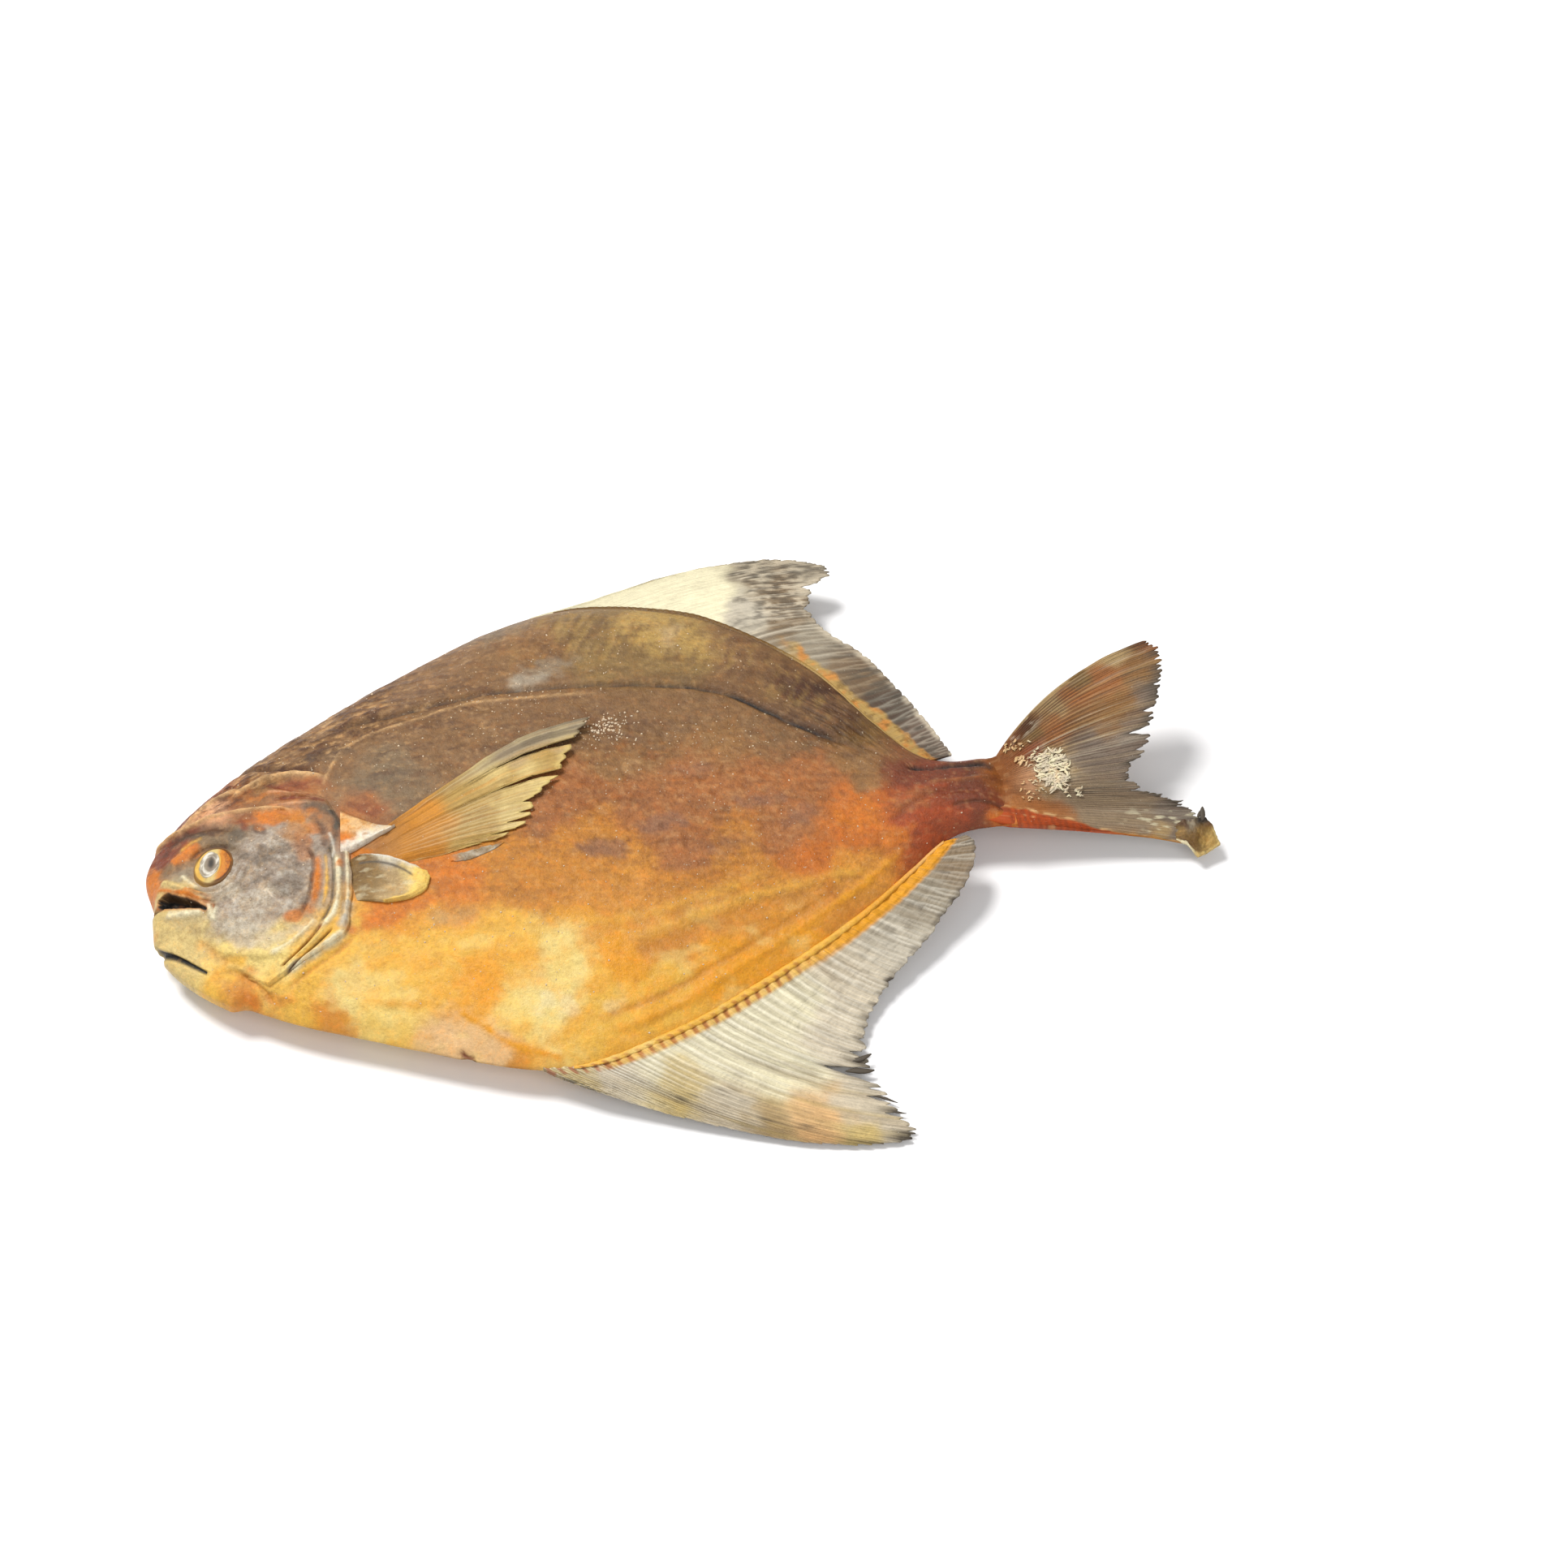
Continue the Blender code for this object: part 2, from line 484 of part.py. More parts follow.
def union(base, parts):
    """Joins the parts to the base in one Boolean union, applies it and removes them."""
    group = bpy.data.collections.new("joined")
    bpy.context.scene.collection.children.link(group)
    for part in parts:
        bpy.context.scene.collection.objects.unlink(part)
        group.objects.link(part)
    join = base.modifiers.new("join", "BOOLEAN")
    join.operation = "UNION"
    join.operand_type = "COLLECTION"
    join.collection = group
    join.solver = "EXACT"
    apply_modifiers(base)
    for part in parts:
        bpy.data.objects.remove(part)
    bpy.data.collections.remove(group)


def cut(base, cutters):
    """Cuts the cutters out of the base, applies the cuts and removes the cutters."""
    for tool in cutters:
        carve = base.modifiers.new("carve", "BOOLEAN")
        carve.operation = "DIFFERENCE"
        carve.object = tool
        carve.solver = "EXACT"
    apply_modifiers(base)
    for tool in cutters:
        bpy.data.objects.remove(tool)


def evaluated_mesh(made):
    """A new mesh of the object as its curve settings and modifiers shape it."""
    bpy.context.view_layer.update()
    graph = bpy.context.evaluated_depsgraph_get()
    return bpy.data.meshes.new_from_object(made.evaluated_get(graph))


def apply_modifiers(made):
    """Replaces the object's mesh by what its modifiers make of it."""
    mesh = evaluated_mesh(made)
    made.modifiers.clear()
    made.data = mesh


def dried_skin():
    """The skin's material."""
    material = bpy.data.materials.new("dried_skin")
    material.use_nodes = True
    shader = material.node_tree.nodes["Principled BSDF"]
    shader.inputs["Base Color"].default_value = SKIN_COLOUR
    shader.inputs["Roughness"].default_value = SKIN_ROUGHNESS
    shader.inputs["Metallic"].default_value = 0.0
    return material


def main():
    for old in list(bpy.data.objects):
        bpy.data.objects.remove(old)
    rng = np.random.default_rng(RANDOM_SEED)
    fish = body()
    cut(fish, [mouth_cutter(), chin_slit_cutter()])
    parts = [
        edge_fin("back_fin", BACK_FIN, BACK_FIN_TEARS, BACK, BACK_FIN_FOLDS, rng),
        edge_fin("belly_fin", BELLY_FIN, BELLY_FIN_TEARS, BELLY, BELLY_FIN_FOLDS, rng),
        tail_fin(rng),
        side_fin(rng),
        plate("gill_cover", GILL_START, GILL_EDGE, GILL_COVER_GRID, GILL_COVER_PROUD, GILL_COVER_SUNK),
        plate("shoulder_bone", SHOULDER_BONE_LOWER, SHOULDER_BONE, SHOULDER_BONE_GRID,
              SHOULDER_BONE_PROUD, SHOULDER_BONE_SUNK),
        plate("ear_flap", EAR_FLAP_FOOT, EAR_FLAP_TIP, EAR_FLAP_GRID, EAR_FLAP_PROUD, EAR_FLAP_SUNK),
        eye(),
        ridge("lateral_line", LATERAL_LINE, LATERAL_LINE_SIZE),
        ridge("brow", BROW, BROW_SIZE),
        ridge("upper_lip", UPPER_LIP, UPPER_LIP_SIZE),
        rope("belly_rope", BELLY, BELLY_ROPE_SPAN, BELLY_ROPE_TICKS),
        rope("back_rope", BACK, BACK_ROPE_SPAN, BACK_ROPE_TICKS),
    ]
    parts += [tail_flake(*flake, rng) for flake in TAIL_FLAKES]
    union(fish, parts)
    cut(fish, [gill_slit_cutter()])
    fish.data.materials.clear()
    fish.data.materials.append(dried_skin())
    fish.data.shade_smooth()
    fish.data.set_sharp_from_angle(angle=SHARP_EDGE)


main()
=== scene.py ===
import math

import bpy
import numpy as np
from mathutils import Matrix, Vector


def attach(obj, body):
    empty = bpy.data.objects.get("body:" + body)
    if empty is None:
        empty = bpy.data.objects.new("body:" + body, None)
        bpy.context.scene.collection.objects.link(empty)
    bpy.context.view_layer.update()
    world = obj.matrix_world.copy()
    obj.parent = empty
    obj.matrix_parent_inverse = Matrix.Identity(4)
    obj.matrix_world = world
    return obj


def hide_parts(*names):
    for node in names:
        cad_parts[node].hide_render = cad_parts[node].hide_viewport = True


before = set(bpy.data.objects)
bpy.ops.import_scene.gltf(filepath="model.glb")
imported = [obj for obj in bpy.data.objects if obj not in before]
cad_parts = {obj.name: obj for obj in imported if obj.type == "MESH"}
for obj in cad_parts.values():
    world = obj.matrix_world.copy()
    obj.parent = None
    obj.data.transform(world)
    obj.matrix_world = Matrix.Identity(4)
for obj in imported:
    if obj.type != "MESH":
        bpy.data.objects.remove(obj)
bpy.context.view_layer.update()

# The looks of the dried pomfret. All of its surfaces are worked out here in the fish frame of the solids:
# millimetres, x from the snout to the tail, y from the keel towards the back fin, z up from the surface
# that the fish lies on. The skin has its relief and its colours as functions of x and y, so that the gill
# cover and the bones on it carry on what lies beside them.

BODY = "root"
NODE = "pomfret"
MM = 0.001
MIDDLE = np.array((148.2, -2.2, 0.0))
SMALL = 1e-6

# ---------------------------------------------------------------- the body's own measures, as in the solids

BODY_LENGTH = 240.0
BACK = ((0, 0), (3, 9.5), (15, 25), (41, 45), (74, 66), (100, 79.5), (122, 85), (142, 83), (163, 76),
        (189, 55), (206, 30), (216, 17), (226, 12.5), (240, 13))
BELLY = ((0, 0), (2, -9), (5, -22), (11, -31.5), (25, -43), (40, -51), (61, -59), (98, -72),
         (116, -73.5), (141, -65.5), (160, -56), (178, -45.5), (195, -34), (210, -22), (220, -14),
         (228, -11.5), (240, -13))
KEEL = ((0, 9), (60, 9), (150, 9), (190, 9.5), (215, 11), (240, 13.5))
RISE = ((0, 0), (2, 4), (8, 8), (20, 11.5), (40, 14), (70, 15.5), (105, 15.5), (140, 13.5), (170, 11),
        (195, 8.5), (215, 7), (228, 5.5), (236, 3), (240, 1))
DROP = ((0, 0), (2, 3), (8, 6), (20, 9), (40, 12), (105, 12.5), (140, 11.5), (170, 9.5), (195, 8),
        (215, 6.5), (228, 5), (236, 3), (240, 1))
PROFILE_SAMPLES = 400
LENS_POWER = 0.62
LENS_POWER_TO_BACK = 0.08
LENS_POWER_TO_BELLY = 0.14
BODY_STATIONS = 400
SNOUT_CROWDING = 1.5
UPPER_COLUMNS = 216
LOWER_COLUMNS = 32
EVEN_SPREAD = 0.7

# One row for each ray that sets a fin's shape: (foot, tip x, tip y, tip z, bow). The foot is the station
# along the back or the belly, or the y at the tail root and the shoulder.
BACK_FIN = ((104, 112, 84.5, 9, 0), (112, 130, 89, 9, 0.1), (118, 146, 93, 10, 0.2),
            (123, 163, 96.8, 10, 0.5), (129, 182, 97.3, 11, 1.9), (135, 196, 93.5, 12, 3.0),
            (142, 202, 89.5, 12, 3.2), (150, 198, 85, 12, 2.6), (160, 194, 79, 12, 1.8),
            (174, 195, 69, 12, 1.0), (188, 207, 55, 12, 0.5), (200, 214.5, 42, 12, 0),
            (208, 220, 31, 12, 0), (214, 224, 21, 12.5, 0), (219, 226, 14.5, 13, 0))
BELLY_FIN = ((104, 116, -79.5, 7, 0), (109, 134, -87, 4.5, 0.1), (114, 152, -93.5, 3, 0.6),
             (119, 172, -99.5, 1.8, 2.0), (124, 190, -102, 1.2, 3.8), (130, 200, -100.5, 1.2, 4.8),
             (137, 198, -95, 1.2, 4.6), (144, 194, -87, 1.4, 3.8), (151, 191, -80.5, 1.9, 3.0),
             (158, 190, -75, 2.4, 2.2), (166, 190.5, -68, 3, 1.6), (174, 194, -60.5, 3.8, 1.2),
             (182, 200, -53, 5, 0.6), (191, 208, -45.5, 6.5, 0), (201, 216, -37, 9, 0),
             (209, 223.5, -28.5, 11.5, 0), (215, 227.5, -19, 13.5, 0), (219, 225, -14, 13.5, 0))
TAIL_FIN = (
    (12, 284.5, 37.0, 29, 5.4), (10.4, 288, 32.6, 29.4, 5.2), (9, 288, 26.5, 28, 4.6),
    (7, 286, 20, 25, 3.4), (5, 283, 13.5, 22, 2.2), (3, 280, 6, 18.5, 1.0), (1, 274, 0.5, 16, 0),
    (-1, 277.5, -4.5, 14, 0), (-3.5, 285, -8, 12, 0), (-6, 291, -11, 9.5, 0), (-8.5, 294, -14.5, 7, 0),
    (-10.5, 292, -18.0, 5, 0.4), (-12, 285.5, -18.2, 6, 0.8),
)
SIDE_FIN = ((-6.6, 126.8, 31.6, 0, 5.0), (-7.6, 123.5, 27.5, 0, 4.2), (-8.8, 119.5, 19.5, 0, 3.2),
            (-9.8, 115.5, 11.5, 0, 2.4), (-10.8, 109, 4.6, 0, 1.7), (-11.7, 107, -1.5, 0, 1.1),
            (-12.6, 101, -6.5, 0, 0.5), (-13.4, 91, -9.3, 0, 0.2), (-14, 79, -11.8, 0, 0))
FOLD_TOP = ((284.2, -13.8, 7.6), (289.0, -12.6, 8.4), (293.6, -12.4, 8.4))
FOLD_BOTTOM = ((284.6, -17.2, 6.2), (289.8, -22.6, 4.2), (296.6, -19.6, 4.6))
FOLD_SIDE = 0.5
# Tears in a margin: (place along the fin, share of the ray that is left, half width along the fin)
BACK_FIN_TEARS = ((0.5, 0.88, 0.02), (0.58, 0.92, 0.02), (0.36, 0.95, 0.006), (0.43, 0.93, 0.008))
BELLY_FIN_TEARS = ((0.34, 0.94, 0.006), (0.365, 0.95, 0.006), (0.395, 0.9, 0.01), (0.43, 0.86, 0.012),
                   (0.452, 0.9, 0.008), (0.486, 0.68, 0.024), (0.54, 0.84, 0.012), (0.575, 0.92, 0.01),
                   (0.62, 0.95, 0.008), (0.7, 0.95, 0.008))
TAIL_FIN_TEARS = ((0.11, 0.95, 0.012), (0.2, 0.94, 0.012), (0.29, 0.9, 0.014), (0.36, 0.84, 0.018),
                  (0.42, 0.9, 0.014), (0.47, 0.93, 0.02), (0.55, 0.92, 0.012), (0.6, 0.88, 0.016),
                  (0.67, 0.93, 0.012), (0.74, 0.93, 0.014), (0.8, 0.95, 0.01))
SIDE_FIN_TEARS = ((0.17, 0.6, 0.02), (0.335, 0.56, 0.02), (0.5, 0.92, 0.02), (0.56, 0.9, 0.015),
                  (0.61, 0.84, 0.02), (0.69, 0.8, 0.02), (0.8, 0.72, 0.018))
# How each fin's points are laid out: (rays, rows of points, how ragged its margin is, seed)
BELLY_FIN_MESH = (60, 72, 0.055, 71)
BACK_FIN_MESH = (56, 52, 0.045, 81)
TAIL_FIN_MESH = (54, 72, 0.045, 91)
SIDE_FIN_MESH = (21, 72, 0.025, 101)
COLUMNS_A_RAY = 8
FIN_THICKNESS_FOOT = 1.3
FIN_THICKNESS_TIP = 0.35
LOWEST_FIN = 0.2
TAIL_ROOT_X = 231.0
TAIL_FOOT_X = 238.0
TAIL_ROOT_WIDTH = 0.8
TAIL_END_SUNK = 1.0
SIDE_FIN_FOOT_X = (57.0, 63.5)
SIDE_FIN_LIFT = 2.2
SIDE_FIN_SETTLE = 0.4

GILL_EDGE = ((35, 18), (44, 16.3), (50.5, 13), (55, 4), (57, -6), (57.4, -16), (56.8, -25), (55.5, -31),
             (49, -35), (41, -38.5), (34, -41.5))
GILL_START = ((31, 14), (34, 11), (37, 7), (39, 1), (40, -6), (40, -14), (39, -21), (37, -27),
              (34, -31), (31, -35), (28, -38))
SHOULDER_BONE = ((55, -7.8), (58, -7.2), (62, -5.1), (66, -2.8), (69.8, -0.8))
SHOULDER_BONE_TOP = ((55, 8.6), (58, 6.2), (62, 3.4), (66, 0.9), (69.8, -0.2))
EAR_FLAP_FOOT = ((57.2, -9.6), (56.6, -14), (56.8, -18), (58.3, -22.4))
EAR_FLAP_TIP = (
    (60.5, -9.2), (67.4, -10.4), (73.4, -13.4), (77.8, -17), (77.6, -21.2), (73.6, -23.5),
    (66.8, -24.2),
)
# Plates: (columns, rows, how far it stands proud, how deep it goes, power of its rise)
GILL_COVER_SHAPE = (260, 64, 1.5, 2.0, 1.4)
FRINGE_SHAPE = (80, 24, 0.35, 1.0, 0.7)
SHOULDER_BONE_SHAPE = (70, 40, 1.9, 1.5, 0.5)
EAR_FLAP_SHAPE = (120, 56, 1.7, 1.5, 0.6)
EYE_PLACE = (20.1, -4.2)
EYE_DOME = 1.3
EYE_SUNK = 0.75
CORNEA_EDGE = 0.2
PUPIL_DENT = 0.15
EYE_RADIUS = 5.05
EYE_STRETCH = (0.97, 1.12)
EYE_TURN = -0.12
EYE_GRID = (70, 108)
CORNEA_PLACE = (-0.2, 0.02)
CORNEA_RADII = (0.56, 0.78)
CREASE_LINE = (
    (50.7, 41.6), (60.1, 41.6), (69.4, 42.2), (83.3, 44.8), (96.9, 46.6), (114.5, 46.2), (136.6, 45.2),
    (153, 43.2), (165, 39.6), (175.3, 33.1), (183, 27.4), (191.7, 22.2), (201, 16),
)
LATERAL_LINE = (
    (50.5, 19), (52.7, 24.5), (56.6, 31.6), (63.6, 35.6), (78.6, 40), (91.4, 43.4), (108.6, 43),
    (120, 42.6), (136, 42.2),
)
ROPE_ABOVE_KEEL = 0.9
ROPE_FLATNESS = 0.65
BELLY_ROPE_SPAN = (112.0, 218.992)
BELLY_ROPE_PITCH = 2.972
BACK_ROPE_SPAN = (118.0, 219.0)
BACK_ROPE_RIBS = 54
# Ropes: (radius, swell, slant)
BELLY_ROPE_SHAPE = (0.95, 0.05, 2.6)
BACK_ROPE_SHAPE = (0.85, 0.06, 1.0)
ROPE_BREADTH = 1.3
ROPE_SIDES = 28
ROPE_STEPS_A_RIB = 12

# ---------------------------------------------------------------- colours, 0 to 255 as seen

# The lights make a surface brighter than its own colour by LIGHT, and its gloss adds SHEEN
LIGHT = 1.36
SHEEN = np.array((0.021, 0.021, 0.027))
PALETTE = {
    "cream": (252, 243, 208), "bone": (228, 214, 190), "straw": (229, 203, 138), "yellow": (251, 214, 120),
    "lemon": (248, 222, 142), "gold": (246, 192, 86), "amber": (243, 168, 58), "honey": (222, 152, 72),
    "orange": (208, 140, 66), "ember": (208, 120, 50), "flame": (218, 130, 54), "rust": (180, 118, 76),
    "red_brown": (150, 92, 56), "brick": (134, 72, 46), "mauve": (152, 110, 90), "soot": (40, 24, 15),
    "bark": (94, 66, 46), "umber": (144, 110, 80), "dusk": (142, 120, 96), "moss": (194, 160, 98),
    "ash": (160, 148, 130), "slate": (96, 88, 82), "lilac": (176, 160, 146), "pink": (222, 168, 130),
    "tan": (196, 168, 124), "olive": (150, 122, 82), "pale_grey": (208, 198, 180), "peach": (240, 196, 142),
    "brown": (158, 118, 80), "olive_brown": (126, 96, 60), "blaze": (192, 90, 18),
    "smoke": (140, 125, 114), "taupe": (164, 143, 120), "salt": (244, 238, 224), "copper": (172, 84, 30),
}


def smooth_curve(knots, places):
    """Points of a smooth curve through the knots, at places from 0 to 1 along it.

    Between two knots it is the cubic with their slopes, and the slope at a knot is that of the line between
    its neighbours. The place grows with the square root of the distance between knots.
    """
    knots = np.asarray(knots, float)
    places = np.linspace(0, 1, places) if np.isscalar(places) else np.asarray(places, float)
    steps = np.sqrt(np.linalg.norm(np.diff(knots, axis=0), axis=1))
    mark = np.concatenate([[0.0], np.cumsum(steps)])
    slope = np.empty_like(knots)
    slope[1:-1] = (knots[2:] - knots[:-2]) / (mark[2:] - mark[:-2])[:, None]
    slope[0] = 2 * (knots[1] - knots[0]) / (mark[1] - mark[0]) - slope[1]
    slope[-1] = 2 * (knots[-1] - knots[-2]) / (mark[-1] - mark[-2]) - slope[-2]
    wanted = places * mark[-1]
    left = np.clip(np.searchsorted(mark, wanted, side="right") - 1, 0, len(knots) - 2)
    gap = (mark[left + 1] - mark[left])[:, None]
    w = (wanted - mark[left])[:, None] / gap
    return ((1 + 2 * w) * (1 - w) ** 2 * knots[left] + w * (1 - w) ** 2 * gap * slope[left]
            + w * w * (3 - 2 * w) * knots[left + 1] + w * w * (w - 1) * gap * slope[left + 1])


def profile(knots, x):
    """A profile's value at station x. It is smooth in the square root of x, so the snout is blunt."""
    knots = np.asarray(knots, float)
    line = smooth_curve(np.stack([np.sqrt(knots[:, 0]), knots[:, 1]], 1), PROFILE_SAMPLES)
    return np.interp(np.sqrt(np.maximum(x, 0)), line[:, 0], line[:, 1])


def lens(across):
    """Share of the full thickness across the body, from 1 at the back through 0 to -1 at the belly."""
    to_edge = np.where(across > 0, LENS_POWER_TO_BACK, LENS_POWER_TO_BELLY)
    return np.abs(1 - across**2) ** (LENS_POWER - to_edge * across)


def skin_top(x, y):
    """Height of the upper skin over the place x, y, before its relief."""
    back, belly = profile(BACK, x), profile(BELLY, x)
    across = np.clip((y - (back + belly) / 2) / np.maximum((back - belly) / 2, SMALL), -1, 1)
    return profile(KEEL, x) + profile(RISE, x) * lens(across)


# ---------------------------------------------------------------- noise, soft steps, lines and stains

NOISE_NET = 256
NOISE_HEIGHTS = np.random.default_rng(11).uniform(-1, 1, (NOISE_NET, NOISE_NET))
NOISE_TURN = 0.7
LINE_SAMPLES = 40


def noise(x, y, size, seed=0, octaves=3):
    """Smooth random hills and hollows, from about -1 to 1, with hills as broad as size.

    An octave blends the random heights at the corners of a square net by weights w*w*(3-2w). Each next
    octave is turned by a further 0.7 radians, twice as fine and half as strong.
    """
    x, y = np.broadcast_arrays(np.asarray(x, float), np.asarray(y, float))
    total, strength, sum_of = np.zeros(x.shape), 1.0, 0.0
    for octave in range(octaves):
        angle = NOISE_TURN * (octave + 1) + seed
        scale = 2**octave / size
        u = (x * math.cos(angle) - y * math.sin(angle)) * scale + 37.3 * seed + 11.1 * octave
        v = (x * math.sin(angle) + y * math.cos(angle)) * scale + 91.7 * seed + 5.3 * octave
        i, j = np.floor(u).astype(int), np.floor(v).astype(int)
        f, g = u - i, v - j
        f, g = f * f * (3 - 2 * f), g * g * (3 - 2 * g)
        i, j = i % NOISE_NET, j % NOISE_NET
        right, above = (i + 1) % NOISE_NET, (j + 1) % NOISE_NET
        low = NOISE_HEIGHTS[i, j] * (1 - f) + NOISE_HEIGHTS[right, j] * f
        high = NOISE_HEIGHTS[i, above] * (1 - f) + NOISE_HEIGHTS[right, above] * f
        total += strength * (low * (1 - g) + high * g)
        sum_of += strength
        strength *= 0.5
    return 1.5 * total / sum_of


def step(value, low, high):
    """0 below low, 1 above high, and w*w*(3-2w) between."""
    w = np.clip((value - low) / (high - low), 0, 1)
    return w * w * (3 - 2 * w)


def round_spot(x, y, middle_x, middle_y, reach_x, reach_y):
    """A soft round spot, 1 in its middle: exp(-(dx / reach x)^2 - (dy / reach y)^2)."""
    return np.exp(-(((x - middle_x) / reach_x) ** 2) - ((y - middle_y) / reach_y) ** 2)


def near_line(x, y, knots, reach):
    """Distance to a smooth line, how far along it from 0 to 1, and the side: 1 on its left, else -1.

    Places further away than reach get twice the reach.
    """
    line = smooth_curve(knots, LINE_SAMPLES)
    low, high = line.min(0) - reach, line.max(0) + reach
    close = (x > low[0]) & (x < high[0]) & (y > low[1]) & (y < high[1])
    px, py = x[close], y[close]
    best = np.full(px.shape, 2.0 * reach)
    place, turn = np.zeros(px.shape), np.zeros(px.shape)
    for k in range(LINE_SAMPLES - 1):
        run = line[k + 1] - line[k]
        t = np.clip(((px - line[k, 0]) * run[0] + (py - line[k, 1]) * run[1]) / (run @ run), 0, 1)
        dx, dy = px - line[k, 0] - t * run[0], py - line[k, 1] - t * run[1]
        away = np.hypot(dx, dy)
        closer = away < best
        best = np.where(closer, away, best)
        place = np.where(closer, (k + t) / (LINE_SAMPLES - 1), place)
        turn = np.where(closer, np.sign(run[0] * dy - run[1] * dx), turn)
    distance, along, side = np.full(x.shape, 2.0 * reach), np.zeros(x.shape), np.zeros(x.shape)
    distance[close], along[close], side[close] = best, place, turn
    return distance, along, side


def seen(colour):
    """A palette colour as the linear share of light that the surface gives back."""
    share = np.asarray(PALETTE[colour], float) / 255
    linear = np.where(share <= 0.04045, share / 12.92, ((share + 0.055) / 1.055) ** 2.4)
    return np.maximum(linear / LIGHT - SHEEN, 0.004)


def washed(x, y, washes):
    """The mean of the washes' colours, each weighted by 1 / (1 + (distance / reach)^2)^4."""
    total, weights = np.zeros(x.shape + (3,)), np.zeros(x.shape)
    for colour, wash_x, wash_y, reach in washes:
        away = ((x - wash_x) ** 2 + (y - wash_y) ** 2) / reach**2
        weight = (1 + away) ** -4.0
        total += weight[..., None] * seen(colour)
        weights += weight
    return total / weights[..., None]


def blend(base, colour, share):
    """The base colours with a share of a palette colour laid over them."""
    share = np.clip(share, 0, 1)[..., None]
    return base * (1 - share) + seen(colour) * share


def lay(colour, name, share):
    """Lays a palette colour over the colours in place, by a share from 0 to 1."""
    colour += np.clip(share, 0, 1)[..., None] * (seen(name) - colour)


# ---------------------------------------------------------------- what lies on the skin

# Washes of colour that run into each other: (colour, x, y, reach)
SKIN_WASHES = (
    ("flame", 2, -3, 3.4), ("brick", 8, 7, 5), ("umber", 12, 2, 4), ("pink", 16, 17, 5),
    ("red_brown", 24, 25, 7), ("brown", 34, 24, 6), ("rust", 42, 20, 6), ("dusk", 22, 3, 5),
    ("lilac", 34, -10, 9), ("lilac", 26, -18, 6), ("straw", 9, -19, 5), ("straw", 15, -24, 6),
    ("lemon", 22, -30, 5), ("bone", 28, -26, 5), ("gold", 24, -36, 6), ("lemon", 36, -36, 6),
    ("honey", 30, -42, 4), ("gold", 44, -42, 7), ("umber", 38, 34, 10), ("umber", 54, 30, 9),
    ("rust", 62, 6, 6), ("dusk", 70, 18, 11), ("umber", 82, 28, 12), ("umber", 62, 48, 10),
    ("umber", 88, 56, 11), ("dusk", 104, 76, 8), ("brown", 112, 66, 9), ("olive", 124, 72, 7),
    ("umber", 112, 52, 10), ("olive", 130, 56, 9), ("moss", 144, 66, 6), ("moss", 154, 61, 6),
    ("tan", 150, 64, 4), ("olive", 150, 50, 9), ("umber", 168, 58, 8), ("umber", 172, 46, 9),
    ("bark", 188, 40, 7), ("umber", 186, 50, 5), ("umber", 104, 34, 11), ("umber", 128, 30, 10),
    ("brown", 132, 16, 9), ("umber", 152, 34, 10), ("brown", 156, 22, 10), ("umber", 176, 24, 9),
    ("umber", 194, 30, 7), ("olive_brown", 200, 24, 5), ("rust", 118, 6, 9), ("rust", 134, 2, 8),
    ("rust", 152, 8, 9), ("rust", 170, 8, 9), ("rust", 186, 6, 8), ("orange", 122, -10, 8),
    ("rust", 146, -14, 8), ("orange", 160, -18, 8), ("rust", 176, -10, 8), ("ember", 196, -6, 8),
    ("copper", 214, -7, 7), ("brown", 200, 10, 6), ("brick", 213, 6, 5), ("orange", 100, -12, 8),
    ("orange", 108, -22, 8), ("honey", 128, -26, 8), ("orange", 146, -28, 7), ("orange", 166, -26, 7),
    ("ember", 184, -20, 7), ("flame", 66, -26, 5), ("flame", 84, -20, 6), ("rust", 104, 2, 7),
    ("honey", 84, -30, 6), ("gold", 58, -38, 7), ("lemon", 58, -46, 6), ("gold", 72, -42, 8),
    ("yellow", 66, -54, 6), ("gold", 84, -40, 8), ("amber", 90, -48, 6), ("gold", 100, -40, 7),
    ("lemon", 112, -50, 7), ("lemon", 108, -60, 7), ("yellow", 100, -62, 6), ("gold", 118, -64, 6),
    ("amber", 128, -46, 7), ("gold", 124, -58, 7), ("gold", 140, -56, 6), ("honey", 140, -40, 7),
    ("amber", 156, -46, 7), ("honey", 158, -36, 7), ("honey", 176, -34, 7), ("amber", 176, -40, 5),
    ("honey", 194, -24, 6), ("peach", 80, -63, 4), ("peach", 91, -67, 4), ("honey", 98, -71, 4),
    ("honey", 50, -52, 4), ("gold", 66, -58, 4), ("brick", 228, -2, 8), ("brick", 226, 8, 5),
    ("copper", 222, -10, 5), ("red_brown", 239, 5, 5), ("rust", 240, -3, 4), ("ember", 240, -10, 5),
)
WASH_WANDER = 3.5

